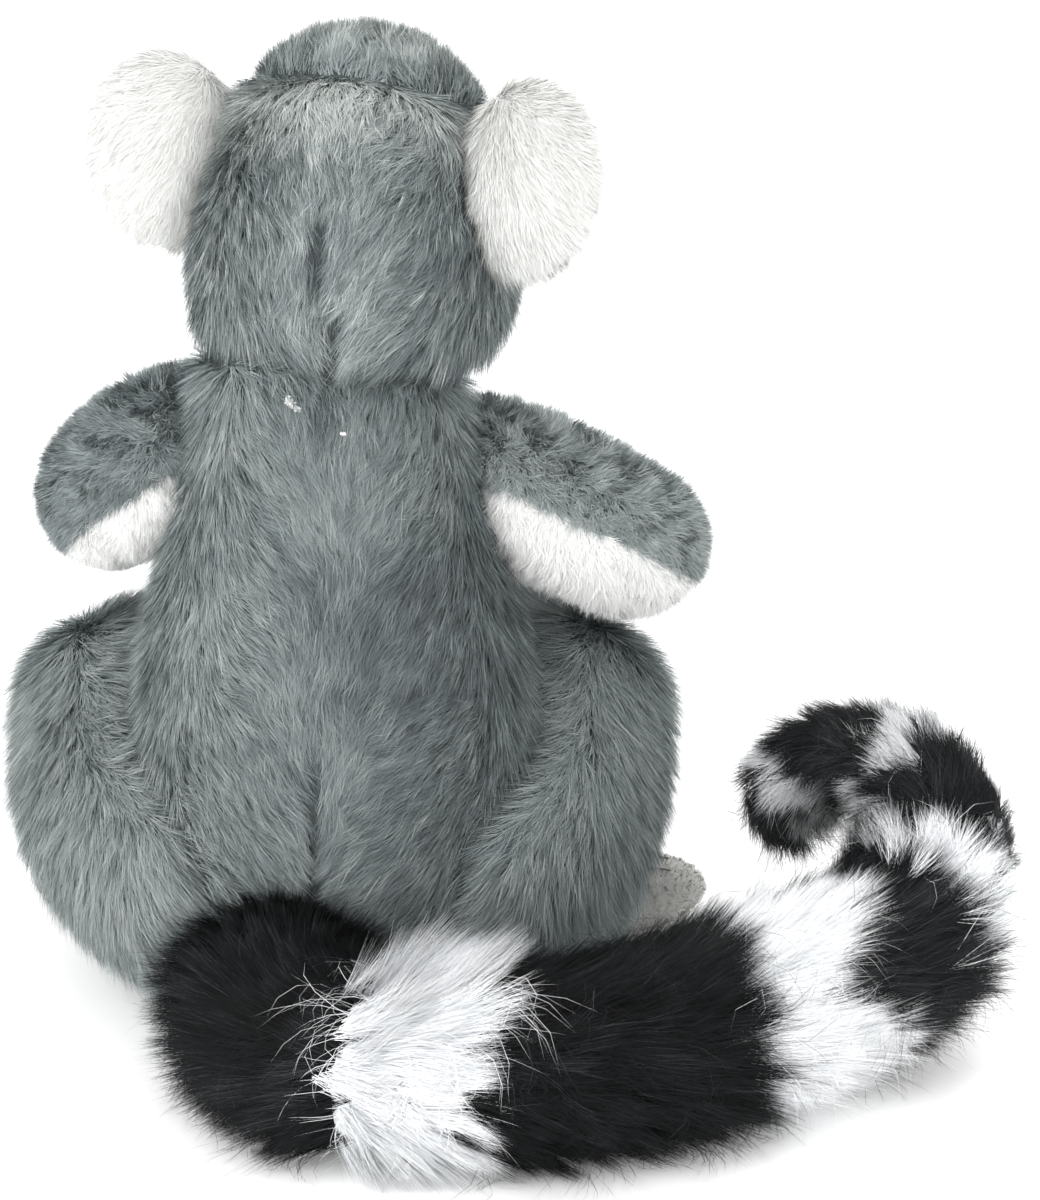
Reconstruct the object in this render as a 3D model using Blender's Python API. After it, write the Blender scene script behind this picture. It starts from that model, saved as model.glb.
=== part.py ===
"""A sitting plush ring-tailed lemur, modelled as its sewn and stuffed pieces.

The seat rests on the floor at the origin, +Z is up and the face looks along -Y.
Each solid holds the outer shape of its stuffed piece with the pile lying on it.
"""

import math
from collections import namedtuple

import bmesh
import bpy
from mathutils import Matrix, Vector

# A cross-section of the torso or the head: its height, half its width, and how far it
# reaches to the back (+Y) and to the front (-Y)
Station = namedtuple("Station", "height half_width back front")
# A point on the middle line of a limb or of the tail, with the limb's radius there
Waypoint = namedtuple("Waypoint", "x y z radius")

# Clearance between pieces that are sewn together
GAP = 0.0003

# Torso, from the flat seat up to the neck seam
SEAT = Station(0.000, 0.040, 0.036, 0.036)
RUMP = Station(0.026, 0.058, 0.050, 0.048)
HIPS = Station(0.066, 0.0605, 0.052, 0.054)
WAIST = Station(0.112, 0.055, 0.045, 0.049)
CHEST = Station(0.152, 0.0455, 0.037, 0.041)
NECK = Station(0.191, 0.0365, 0.031, 0.032)
NECK_TILT = math.radians(9)
NECK_ROLL = math.radians(4)
BELLY_SEAM_Y = -0.030

# Head, in a frame of its own that stands on the neck seam
HEAD_TURN = math.radians(-15)
HEAD_OFFSET = -0.0035
HEAD_BASE = Station(0.000, 0.036, 0.031, 0.031)
JAW = Station(0.009, 0.0435, 0.039, 0.039)
CHEEKS = Station(0.028, 0.0480, 0.044, 0.044)
TEMPLES = Station(0.049, 0.0435, 0.045, 0.045)
BROW = Station(0.071, 0.0345, 0.037, 0.038)
CROWN = Station(0.086, 0.020, 0.021, 0.022)
CROWN_TOP = Station(0.091, 0.004, 0.004, 0.005)
HEAD_SHIFT_Y = -0.006
CROWN_SEAM_BACK = Vector((0.0, 0.022, 0.0795))
CROWN_SEAM_FRONT = Vector((0.0, -0.046, 0.059))
FACE_SEAM_Y = -0.022

# Face
MUZZLE_HEIGHT = 0.026
MUZZLE_REACH = 0.024
MUZZLE_ROOT_RADIUS = 0.0185
MUZZLE_MIDDLE_RADIUS = 0.016
MUZZLE_TIP_RADIUS = 0.010
MUZZLE_MIDDLE_SHARE = 0.45
MUZZLE_DROP = 0.003
MUZZLE_SINK = 0.018
NOSE_HALF_WIDTH = 0.0065
NOSE_HALF_HEIGHT = 0.0050
NOSE_HALF_DEPTH = 0.0050
NOSE_RISE = 0.004
EYE_RADIUS = 0.0062
EYE_SPREAD = 0.0185
EYE_HEIGHT = 0.043
EYE_PROUD = 0.0030
EYE_TURN = math.radians(24)
PATCH_HALF_WIDTH = 0.0115
PATCH_HALF_HEIGHT = 0.0125
PATCH_HALF_DEPTH = 0.0050

# Ears
EAR_HALF_WIDTH = 0.0235
EAR_HALF_HEIGHT = 0.0285
EAR_HALF_THICKNESS = 0.0095
EAR_CUP = 0.005
EAR_HEIGHT = 0.053
EAR_OUT = 0.006
EAR_BACK = 0.019
EAR_SWEEP = math.radians(14)
EAR_LEAN = math.radians(7)
EAR_LINING_SEAM = -0.0020

# Arms: from inside the shoulder, over the elbow, to the wrist
ARM_LEFT = (
    Waypoint(0.016, -0.012, 0.161, 0.0240),
    Waypoint(0.045, -0.014, 0.159, 0.0245),
    Waypoint(0.063, -0.026, 0.144, 0.0225),
    Waypoint(0.068, -0.056, 0.129, 0.0175),
)
ARM_RIGHT = (
    Waypoint(-0.016, -0.012, 0.157, 0.0230),
    Waypoint(-0.050, -0.013, 0.149, 0.0240),
    Waypoint(-0.084, -0.020, 0.130, 0.0225),
    Waypoint(-0.082, -0.058, 0.119, 0.0170),
)
ARM_LINING_DROP_LEFT = 0.008
ARM_LINING_DROP_RIGHT = 0.0015
HAND_LENGTH = 0.030
HAND_SWELL = 1.02
HAND_TAPER = 0.92

# Legs: the haunch from inside the hip to the knee, and the shin that folds back under it
HAUNCH = (
    Waypoint(0.0340, 0.010, 0.042, 0.0400),
    Waypoint(0.0535, -0.014, 0.052, 0.0415),
    Waypoint(0.0650, -0.042, 0.0765, 0.0340),
)
SHIN = (
    Waypoint(0.052, -0.052, 0.087, 0.0210),
    Waypoint(0.060, -0.060, 0.052, 0.0230),
    Waypoint(0.066, -0.042, 0.020, 0.0190),
)
FOOT_HALF_LENGTH = 0.030
FOOT_HALF_WIDTH = 0.0180
FOOT_HALF_HEIGHT = 0.0110
FOOT_YAW_LEFT = math.radians(40)
FOOT_YAW_RIGHT = math.radians(78)
FOOT_FORWARD = 0.014
# How high the middle of a foot lies, as a share of its half height: its sole is pressed flat
FOOT_PRESS = 0.92

# Tail: from inside the rump, round behind the body and up into the curl
TAIL_ROUTE = (
    Waypoint(0.0060, 0.028, 0.0340, 0.0240),
    Waypoint(0.0115, 0.047, 0.0290, 0.0265),
    Waypoint(0.0125, 0.064, 0.0265, 0.0275),
    Waypoint(0.0074, 0.083, 0.0265, 0.0275),
    Waypoint(-0.0065, 0.097, 0.0265, 0.0278),
    Waypoint(-0.0255, 0.102, 0.0265, 0.0278),
    Waypoint(-0.0550, 0.100, 0.0268, 0.0280),
    Waypoint(-0.0900, 0.0875, 0.0275, 0.0283),
    Waypoint(-0.1260, 0.0620, 0.0285, 0.0285),
    Waypoint(-0.1560, 0.0420, 0.0340, 0.0265),
    Waypoint(-0.1710, 0.0300, 0.0490, 0.0220),
    Waypoint(-0.1700, 0.0180, 0.0660, 0.0180),
    Waypoint(-0.1540, 0.0070, 0.0750, 0.0150),
    Waypoint(-0.1375, -0.0005, 0.0730, 0.0130),
    Waypoint(-0.1260, -0.0035, 0.0610, 0.0115),
    Waypoint(-0.1285, -0.0030, 0.0470, 0.0100),
)
# Each ring of the tail, from the body to the tip, with its length
TAIL_BANDS = (
    ("black", 0.086),
    ("white", 0.038),
    ("black", 0.074),
    ("white", 0.032),
    ("black", 0.042),
    ("white", 0.022),
    ("black", 0.023),
    ("white", 0.010),
    ("black", 0.021),
    ("white", 0.013),
    ("black", 0.016),
)
# How far a rounded end stands out, as a share of the radius there
HIP_ROUNDING = 0.7
KNEE_ROUNDING = 0.75
SHIN_TOP_ROUNDING = 0.9
ANKLE_ROUNDING = 0.5
FINGER_ROUNDING = 0.7
MUZZLE_ROUNDING = 0.6
TAIL_TIP_ROUNDING = 0.8
# How far apart the directions of the tail are read
TAIL_REACH = 0.002

# How finely the solids are divided
BODY_SEGMENTS = 26
LIMB_SEGMENTS = 16
BALL_SEGMENTS = 16
BALL_RINGS = 10
STEPS_BETWEEN_STATIONS = 3
STEPS_BETWEEN_WAYPOINTS = 3
CAP_STEPS = 4
# A rounded end stops short of its pole by this share and closes with a small flat face
CAP_SWEEP = 0.96 * math.pi / 2
TAIL_STEPS = 12
TAIL_RING_SPACING = 0.010


def clear_scene():
    for old in list(bpy.data.objects):
        bpy.data.objects.remove(old)


def material(name, colour, roughness):
    made = bpy.data.materials.get(name)
    if made is None:
        made = bpy.data.materials.new(name)
        made.use_nodes = True
        shader = made.node_tree.nodes["Principled BSDF"]
        shader.inputs["Base Color"].default_value = (*colour, 1.0)
        shader.inputs["Roughness"].default_value = roughness
        made.diffuse_color = (*colour, 1.0)
    return made


def grey_plush():
    return material("grey_plush", (0.17, 0.21, 0.22), 0.95)


def crown_plush():
    return material("crown_plush", (0.20, 0.22, 0.22), 0.95)


def arm_plush():
    return material("arm_plush", (0.19, 0.21, 0.21), 0.95)


def white_plush():
    return material("white_plush", (0.80, 0.81, 0.79), 0.95)


def ear_lining_plush():
    return material("ear_lining_plush", (0.30, 0.32, 0.33), 0.95)


def velour():
    return material("velour", (0.42, 0.42, 0.40), 0.90)


def black_plush():
    return material("black_plush", (0.012, 0.013, 0.014), 0.95)


def tail_black():
    return material("tail_black", (0.012, 0.014, 0.014), 0.85)


def tail_white():
    return material("tail_white", (0.82, 0.84, 0.86), 0.85)


def eye_plastic():
    return material("eye_plastic", (0.55, 0.22, 0.02), 0.10)


def nose_plastic():
    return material("nose_plastic", (0.012, 0.011, 0.011), 0.30)


def add_object(name, mesh, made_of):
    """A new object of this mesh, shaded smooth, with its one material."""
    mesh.materials.clear()
    mesh.materials.append(made_of)
    mesh.shade_smooth()
    added = bpy.data.objects.new(name, mesh)
    bpy.context.scene.collection.objects.link(added)
    return added


def mesh_from(name, bm):
    """Closes off a bmesh as mesh data with its faces pointing out."""
    bmesh.ops.recalc_face_normals(bm, faces=bm.faces)
    mesh = bpy.data.meshes.new(name)
    bm.to_mesh(mesh)
    bm.free()
    return mesh


def through(points, steps):
    """Tuples of numbers along a smooth curve through the given tuples."""
    curve = []
    last = len(points) - 1
    for i in range(last):
        before = points[max(i - 1, 0)]
        start = points[i]
        end = points[i + 1]
        after = points[min(i + 2, last)]
        for step in range(steps):
            t = step / steps
            curve.append(tuple(
                0.5 * (2 * b + (c - a) * t + (2 * a - 5 * b + 4 * c - d) * t * t
                       + (3 * b - a - 3 * c + d) * t ** 3)
                for a, b, c, d in zip(before, start, end, after)
            ))
    curve.append(tuple(points[last]))
    return curve


def skin_rings(name, rings):
    """Mesh data of a closed body: rings of points in order, with a flat face at each end."""
    bm = bmesh.new()
    loops = []
    for ring in rings:
        loops.append([bm.verts.new(point) for point in ring])
    for near, far in zip(loops, loops[1:]):
        count = len(near)
        for i in range(count):
            j = (i + 1) % count
            bm.faces.new((near[i], near[j], far[j], far[i]))
    bm.faces.new(reversed(loops[0]))
    bm.faces.new(loops[-1])
    return mesh_from(name, bm)


def station_ring(station, back_slope=0.0, left_slope=0.0):
    """The outline of a station, on a plane that may rise towards the back and the left."""
    middle = (station.back - station.front) / 2
    half_depth = (station.back + station.front) / 2
    ring = []
    for i in range(BODY_SEGMENTS):
        turn = 2 * math.pi * i / BODY_SEGMENTS
        x = station.half_width * math.cos(turn)
        y = middle + half_depth * math.sin(turn)
        ring.append(Vector((x, y, station.height + back_slope * y + left_slope * x)))
    return ring


def torso_form():
    """The whole stuffed body, before the belly panel is parted from it."""
    stations = (SEAT, RUMP, HIPS, WAIST, CHEST, NECK)
    rings = []
    for values in through(stations, STEPS_BETWEEN_STATIONS):
        station = Station(*values)
        rise = max(0.0, (station.height - WAIST.height) / (NECK.height - WAIST.height))
        slopes = (math.tan(angle) * rise ** 2 for angle in (NECK_TILT, NECK_ROLL))
        rings.append(station_ring(station, *slopes))
    return skin_rings("torso_form", rings)


def neck_frame():
    """Where the head's own frame stands: on the neck seam's plane, turned on it."""
    up = Vector((-math.tan(NECK_ROLL), -math.tan(NECK_TILT), 1.0)).normalized()
    back = up.cross(Vector((1.0, 0.0, 0.0))).normalized()
    right = back.cross(up)
    seam = Matrix((right, back, up)).transposed().to_4x4()
    stand = Matrix.Translation((0.0, 0.0, NECK.height))
    lift = Matrix.Translation((HEAD_OFFSET, 0.0, GAP))
    turn = Matrix.Rotation(HEAD_TURN, 4, "Z")
    return stand @ seam @ lift @ turn


def head_form():
    """The whole head in its own frame, before its panels are parted."""
    stations = (HEAD_BASE, JAW, CHEEKS, TEMPLES, BROW, CROWN, CROWN_TOP)
    rings = []
    for values in through(stations, STEPS_BETWEEN_STATIONS):
        station = Station(*values)
        shift = HEAD_SHIFT_Y * min(1.0, station.height / CHEEKS.height)
        rings.append([p + Vector((0.0, shift, 0.0)) for p in station_ring(station)])
    return skin_rings("head_form", rings)


def unit_ball():
    bm = bmesh.new()
    bmesh.ops.create_uvsphere(bm, u_segments=BALL_SEGMENTS, v_segments=BALL_RINGS, radius=1.0)
    return bm


def ball(name, frame, half_sizes):
    """Mesh data of an ellipsoid, with its half sizes along the axes of its frame."""
    bm = unit_ball()
    bmesh.ops.scale(bm, vec=half_sizes, verts=bm.verts)
    bmesh.ops.transform(bm, matrix=frame, verts=bm.verts)
    return mesh_from(name, bm)


def directions_of(curve):
    """The direction of a line of waypoints at each of them."""
    middles = [Vector(point[:3]) for point in curve]
    directions = []
    for i in range(len(middles)):
        ahead = middles[min(i + 1, len(middles) - 1)]
        behind = middles[max(i - 1, 0)]
        directions.append((ahead - behind).normalized())
    return directions


def tube_rings(curve, directions, start_round=0.0, end_round=0.0):
    """Rings round a middle line of waypoints, with a rounded cap where one is asked for."""
    middles = [Vector(point[:3]) for point in curve]
    radii = [point[3] for point in curve]
    side = directions[0].orthogonal().normalized()
    placed = []
    for middle, radius, direction in zip(middles, radii, directions):
        side = (side - direction * side.dot(direction)).normalized()
        placed.append((middle, direction, side, radius))
    caps = [CAP_SWEEP * (i + 1) / CAP_STEPS for i in range(CAP_STEPS)]
    if end_round:
        middle, direction, side, radius = placed[-1]
        for angle in caps:
            out = middle + direction * radius * end_round * math.sin(angle)
            placed.append((out, direction, side, radius * math.cos(angle)))
    if start_round:
        middle, direction, side, radius = placed[0]
        for angle in caps:
            out = middle - direction * radius * start_round * math.sin(angle)
            placed.insert(0, (out, direction, side, radius * math.cos(angle)))
    rings = []
    for middle, direction, side, radius in placed:
        across = direction.cross(side)
        ring = []
        for i in range(LIMB_SEGMENTS):
            turn = 2 * math.pi * i / LIMB_SEGMENTS
            ring.append(middle + (side * math.cos(turn) + across * math.sin(turn)) * radius)
        rings.append(ring)
    return rings


def limb(name, waypoints, start_round=0.0, end_round=0.0):
    """Mesh data of a stuffed tube along a smooth curve through the waypoints."""
    curve = through(waypoints, STEPS_BETWEEN_WAYPOINTS)
    return skin_rings(name, tube_rings(curve, directions_of(curve), start_round, end_round))


def mirrored(waypoints):
    return tuple(Waypoint(-p.x, p.y, p.z, p.radius) for p in waypoints)


def set_on_floor(mesh):
    """Flattens what hangs below the floor, where the stuffed piece rests on it."""
    for vertex in mesh.vertices:
        vertex.co.z = max(vertex.co.z, 0.0)


def grown(mesh):
    """A copy of the mesh that is larger all round by the sewing clearance."""
    copy = mesh.copy()
    normals = [vertex.normal.copy() for vertex in copy.vertices]
    for vertex, normal in zip(copy.vertices, normals):
        vertex.co += normal * GAP
    return copy


def combined(mesh, other, operation):
    """The mesh after a Boolean operation with the other one."""
    body = bpy.data.objects.new("body", mesh)
    tool = bpy.data.objects.new("tool", other)
    for helper in (body, tool):
        bpy.context.scene.collection.objects.link(helper)
    step = body.modifiers.new(operation.lower(), "BOOLEAN")
    step.object = tool
    step.operation = operation
    step.solver = "EXACT"
    graph = bpy.context.evaluated_depsgraph_get()
    result = bpy.data.meshes.new_from_object(body.evaluated_get(graph))
    bpy.data.objects.remove(body)
    bpy.data.objects.remove(tool)
    return result


def carved(mesh, *cutters):
    """The mesh with each cutter, grown by the clearance, taken out of it."""
    for cutter in cutters:
        mesh = combined(mesh, grown(cutter), "DIFFERENCE")
    return mesh


def sliced(mesh, point, normal):
    """The part of the mesh on the side that the normal points to, half a clearance off."""
    bm = bmesh.new()
    bm.from_mesh(mesh)
    geometry = bm.verts[:] + bm.edges[:] + bm.faces[:]
    at = Vector(point) + Vector(normal).normalized() * GAP / 2
    result = bmesh.ops.bisect_plane(
        bm, geom=geometry, dist=1e-7, plane_co=at, plane_no=normal, clear_inner=True
    )
    rim = [part for part in result["geom_cut"] if isinstance(part, bmesh.types.BMEdge)]
    bmesh.ops.edgeloop_fill(bm, edges=rim)
    return mesh_from(mesh.name, bm)


def moved(mesh, frame):
    mesh.transform(frame)
    mesh.update()
    return mesh


def largest_body(mesh):
    """The mesh without the slivers that a cut may leave apart from it."""
    bm = bmesh.new()
    bm.from_mesh(mesh)
    left = set(bm.verts)
    bodies = []
    while left:
        todo = [left.pop()]
        body = list(todo)
        while todo:
            for edge in todo.pop().link_edges:
                for vertex in edge.verts:
                    if vertex in left:
                        left.remove(vertex)
                        todo.append(vertex)
                        body.append(vertex)
        bodies.append(body)
    bodies.sort(key=len)
    for body in bodies[:-1]:
        bmesh.ops.delete(bm, geom=body, context="VERTS")
    return mesh_from(mesh.name, bm)


def build_torso(torso):
    back = sliced(torso, (0.0, BELLY_SEAM_Y, 0.0), (0.0, 1.0, 0.0))
    belly = sliced(torso, (0.0, BELLY_SEAM_Y, 0.0), (0.0, -1.0, 0.0))
    add_object("torso", back, grey_plush())
    add_object("belly_panel", belly, white_plush())


def face_point(head, x, height):
    """The place on the front of the head at this x and height, in the head's own frame."""
    front = [vertex.co for vertex in head.vertices if vertex.co.y < 0]
    nearest = min(front, key=lambda point: math.hypot(point.x - x, point.z - height))
    return Vector((x, nearest.y, height))


def muzzle_form(front):
    """A short snout that starts inside the head and drops a little towards its tip."""
    middle_y = front.y - MUZZLE_REACH * MUZZLE_MIDDLE_SHARE
    route = (
        Waypoint(0.0, front.y + MUZZLE_SINK, front.z + MUZZLE_DROP, MUZZLE_ROOT_RADIUS),
        Waypoint(0.0, middle_y, front.z, MUZZLE_MIDDLE_RADIUS),
        Waypoint(0.0, front.y - MUZZLE_REACH, front.z, MUZZLE_TIP_RADIUS),
    )
    return limb("muzzle_form", route, end_round=MUZZLE_ROUNDING)


def build_head(head, frame):
    """The head's three panels, and the muzzle, nose, eyes and eye patches on its face."""
    front = face_point(head, 0.0, MUZZLE_HEIGHT)
    muzzle = muzzle_form(front)
    nose_at = Vector((0.0, front.y - MUZZLE_REACH - NOSE_HALF_DEPTH, front.z + NOSE_RISE))
    nose = ball(
        "nose", Matrix.Translation(nose_at),
        (NOSE_HALF_WIDTH, NOSE_HALF_DEPTH, NOSE_HALF_HEIGHT),
    )
    eyes = {}
    patches = {}
    for side, sign in (("left", 1), ("right", -1)):
        socket = face_point(head, sign * EYE_SPREAD, EYE_HEIGHT)
        facing = Matrix.Rotation(sign * EYE_TURN, 4, "Z")
        at = Matrix.Translation(socket)
        ahead = Matrix.Translation(facing @ Vector((0.0, -EYE_PROUD, 0.0)))
        patches[side] = ball(
            "eye_patch", at @ facing, (PATCH_HALF_WIDTH, PATCH_HALF_DEPTH, PATCH_HALF_HEIGHT)
        )
        eyes[side] = ball("eye", at @ ahead @ facing, (EYE_RADIUS,) * 3)

    seam_run = CROWN_SEAM_BACK - CROWN_SEAM_FRONT
    crown_up = Vector((0.0, -seam_run.z, seam_run.y))
    above = sliced(head, CROWN_SEAM_BACK, crown_up)
    below = sliced(head, CROWN_SEAM_BACK, -crown_up)
    back = sliced(below, (0.0, FACE_SEAM_Y, 0.0), (0.0, 1.0, 0.0))
    face = sliced(below, (0.0, FACE_SEAM_Y, 0.0), (0.0, -1.0, 0.0))
    face = carved(face, muzzle, patches["left"], patches["right"])
    add_object("crown_panel", moved(above, frame), crown_plush())
    add_object("head_back", moved(back, frame), grey_plush())
    add_object("face_mask", moved(largest_body(face), frame), white_plush())
    for side in ("left", "right"):
        patch = largest_body(carved(patches[side], muzzle, eyes[side]))
        add_object("eye_patch_" + side, moved(patch, frame), black_plush())
        add_object("eye_" + side, moved(eyes[side], frame), eye_plastic())
    add_object("muzzle", moved(carved(muzzle, nose), frame), velour())
    add_object("nose", moved(nose, frame), nose_plastic())


def ear_form():
    """An ear in a frame of its own, as a disc that is cupped towards the front."""
    bm = unit_ball()
    for vertex in bm.verts:
        x, y, z = vertex.co
        rim = x * x + z * z
        vertex.co = (
            x * EAR_HALF_WIDTH,
            y * EAR_HALF_THICKNESS - EAR_CUP * rim,
            z * EAR_HALF_HEIGHT,
        )
    return mesh_from("ear_form", bm)


def ear_frame(sign):
    """Where an ear stands on the side of the head, in the head's frame."""
    out = TEMPLES.half_width + EAR_OUT
    at = Matrix.Translation((sign * out, HEAD_SHIFT_Y + EAR_BACK, EAR_HEIGHT))
    sweep = Matrix.Rotation(sign * EAR_SWEEP, 4, "Z")
    lean = Matrix.Rotation(sign * EAR_LEAN, 4, "Y")
    return at @ sweep @ lean


def build_ears(head, frame):
    for side, sign in (("left", 1), ("right", -1)):
        ear = ear_form()
        place = ear_frame(sign)
        outer = sliced(ear, (0.0, EAR_LINING_SEAM, 0.0), (0.0, 1.0, 0.0))
        lining = sliced(ear, (0.0, EAR_LINING_SEAM, 0.0), (0.0, -1.0, 0.0))
        outer = largest_body(carved(moved(outer, place), head))
        lining = largest_body(carved(moved(lining, place), head))
        add_object("ear_" + side, moved(outer, frame), white_plush())
        add_object("ear_lining_" + side, moved(lining, frame), ear_lining_plush())


def hand_form(wrist, along):
    """A mitt that carries on from the wrist, in the direction of the forearm."""
    start = Vector(wrist[:3]) + along * GAP
    middle = start + along * HAND_LENGTH / 2
    end = start + along * (HAND_LENGTH - wrist.radius * FINGER_ROUNDING)
    route = (
        Waypoint(*start, wrist.radius),
        Waypoint(*middle, wrist.radius * HAND_SWELL),
        Waypoint(*end, wrist.radius * HAND_TAPER),
    )
    return limb("hand_form", route, end_round=FINGER_ROUNDING)


def build_arm(side, waypoints, lining_drop, around):
    """The grey arm, its white lining along the underside, and the hand."""
    arm = limb("arm_form", waypoints)
    forearm = through(waypoints, STEPS_BETWEEN_WAYPOINTS)[-2:]
    hand = hand_form(waypoints[-1], directions_of(forearm)[-1])
    shoulder, elbow, wrist = (Vector(waypoints[i][:3]) for i in (1, 2, 3))
    up = (elbow - shoulder).cross(wrist - elbow).normalized()
    if up.z < 0:
        up = -up
    seam = elbow - up * lining_drop
    outer = largest_body(carved(sliced(arm, seam, up), *around))
    lining = largest_body(carved(sliced(arm, seam, -up), *around))
    add_object("arm_" + side, outer, arm_plush())
    add_object("arm_lining_" + side, lining, white_plush())
    add_object("hand_" + side, largest_body(carved(hand, *around)), velour())


def leg_form(haunch_route, shin_route):
    """A haunch with a round knee, joined to the shin in front of it."""
    haunch = limb("haunch", haunch_route, HIP_ROUNDING, KNEE_ROUNDING)
    shin = limb("shin", shin_route, SHIN_TOP_ROUNDING, ANKLE_ROUNDING)
    set_on_floor(haunch)
    set_on_floor(shin)
    return combined(haunch, shin, "UNION")


def foot_form(ankle, turn_out):
    """A foot that lies flat under the ankle, with its toes turned out."""
    yaw = Matrix.Rotation(turn_out, 4, "Z")
    ahead = yaw @ Vector((0.0, -FOOT_FORWARD, 0.0))
    middle = FOOT_HALF_HEIGHT * FOOT_PRESS
    at = Matrix.Translation((ankle.x + ahead.x, ankle.y + ahead.y, middle))
    half_sizes = (FOOT_HALF_WIDTH, FOOT_HALF_LENGTH, FOOT_HALF_HEIGHT)
    foot = ball("foot_form", at @ yaw, half_sizes)
    set_on_floor(foot)
    return foot


def tail_curve():
    """Closely spaced waypoints along the tail, and the distance along it to each."""
    curve = through(TAIL_ROUTE, TAIL_STEPS)
    along = [0.0]
    for near, far in zip(curve, curve[1:]):
        along.append(along[-1] + (Vector(far[:3]) - Vector(near[:3])).length)
    return curve, along


def tail_at(curve, along, distance):
    """The waypoint at this distance along the tail."""
    last = len(along) - 2
    i = 0
    while i < last and along[i + 1] < distance:
        i += 1
    share = (distance - along[i]) / (along[i + 1] - along[i])
    return Waypoint(*(a + (b - a) * share for a, b in zip(curve[i], curve[i + 1])))


def tail_direction(curve, along, distance):
    ahead = tail_at(curve, along, distance + TAIL_REACH)
    behind = tail_at(curve, along, distance - TAIL_REACH)
    return (Vector(ahead[:3]) - Vector(behind[:3])).normalized()


def build_tail(torso):
    """One stuffed ring of each colour after the other, each meeting the next face to face."""
    curve, along = tail_curve()
    scale = along[-1] / sum(length for _, length in TAIL_BANDS)
    start = 0.0
    for number, (colour, length) in enumerate(TAIL_BANDS, 1):
        end = start + length * scale
        steps = max(2, round((end - start) / TAIL_RING_SPACING))
        first = start + GAP / 2
        run = end - start - GAP
        distances = [first + run * i / steps for i in range(steps + 1)]
        points = [tail_at(curve, along, distance) for distance in distances]
        directions = [tail_direction(curve, along, distance) for distance in distances]
        rounding = TAIL_TIP_ROUNDING if number == len(TAIL_BANDS) else 0.0
        rings = tube_rings(points, directions, end_round=rounding)
        band = skin_rings("band", rings)
        set_on_floor(band)
        if number == 1:
            band = largest_body(carved(band, torso))
        made_of = tail_black() if colour == "black" else tail_white()
        add_object("tail_%s_%d" % (colour, (number + 1) // 2), band, made_of)
        start = end


def build():
    clear_scene()
    frame = neck_frame()
    torso = torso_form()
    head = head_form()
    placed_head = moved(head.copy(), frame)
    build_torso(torso)
    build_ears(head, frame)
    build_head(head, frame)
    legs = {}
    for side, haunch, shin, turn_out in (
        ("left", HAUNCH, SHIN, FOOT_YAW_LEFT),
        ("right", mirrored(HAUNCH), mirrored(SHIN), -FOOT_YAW_RIGHT),
    ):
        leg = leg_form(haunch, shin)
        foot = foot_form(shin[-1], turn_out)
        legs[side] = largest_body(carved(leg, torso, foot))
        add_object("leg_" + side, legs[side], grey_plush())
        add_object("foot_" + side, foot, velour())
    around = (torso, placed_head)
    build_arm("left", ARM_LEFT, ARM_LINING_DROP_LEFT, (*around, legs["left"]))
    build_arm("right", ARM_RIGHT, ARM_LINING_DROP_RIGHT, (*around, legs["right"]))
    build_tail(torso)


build()
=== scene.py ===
"""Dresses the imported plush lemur: pile on each stuffed piece, the eyes and nose, the stage and camera.

The pile is built as thin tapering ribbons that stand on a smooth skin under each CAD solid's surface.
"""

import math
from collections import namedtuple

import bmesh
import bpy
import numpy as np
from bpy.props import FloatProperty, FloatVectorProperty
from mathutils import Matrix, Vector
from mathutils.bvhtree import BVHTree
from mathutils.kdtree import KDTree


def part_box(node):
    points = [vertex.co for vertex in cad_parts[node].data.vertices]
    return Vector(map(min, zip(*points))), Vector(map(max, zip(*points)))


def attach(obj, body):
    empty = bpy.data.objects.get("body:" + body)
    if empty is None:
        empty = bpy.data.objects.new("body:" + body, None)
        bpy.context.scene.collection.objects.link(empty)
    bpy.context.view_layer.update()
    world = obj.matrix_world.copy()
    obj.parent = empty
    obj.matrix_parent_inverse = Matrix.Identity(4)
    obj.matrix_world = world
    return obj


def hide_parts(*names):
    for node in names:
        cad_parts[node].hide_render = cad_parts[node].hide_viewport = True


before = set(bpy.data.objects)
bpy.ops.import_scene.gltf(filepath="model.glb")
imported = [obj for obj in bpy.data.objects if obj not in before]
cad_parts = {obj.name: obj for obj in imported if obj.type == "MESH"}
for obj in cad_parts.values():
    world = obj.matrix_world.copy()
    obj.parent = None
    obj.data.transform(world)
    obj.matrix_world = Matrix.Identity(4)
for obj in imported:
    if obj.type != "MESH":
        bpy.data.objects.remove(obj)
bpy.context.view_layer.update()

bl_info = {
    "name": "Plush Lemur",
    "version": (1, 0, 0),
    "blender": (4, 5, 0),
    "location": "View3D > Sidebar > Plush Lemur",
    "description": "Dresses the plush lemur's solids with pile, seams, eyes and nose",
    "category": "Object",
}

BODY = "root"
# How far the solids are grown before they are joined, to close the seams between them
SEAM_FILL = 0.0004
WELD = 0.00001
# No strand reaches below this height
FLOOR_CLEARANCE = 0.0003
# The seam down the middle of the back and head: its height and how far it stands to the side
SEAM_HEIGHTS = (0.050, 0.120, 0.185, 0.207, 0.2155, 0.229, 0.248)
SEAM_PLACES = (0.0045, 0.0020, -0.0012, -0.0030, 0.0035, 0.0008, -0.0015)
SEAM_GROOVE = 0.0013
# How far the head is turned on the neck, and each eye on the head
HEAD_TURN = math.radians(-15)
EYE_TURN = math.radians(24)
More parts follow.
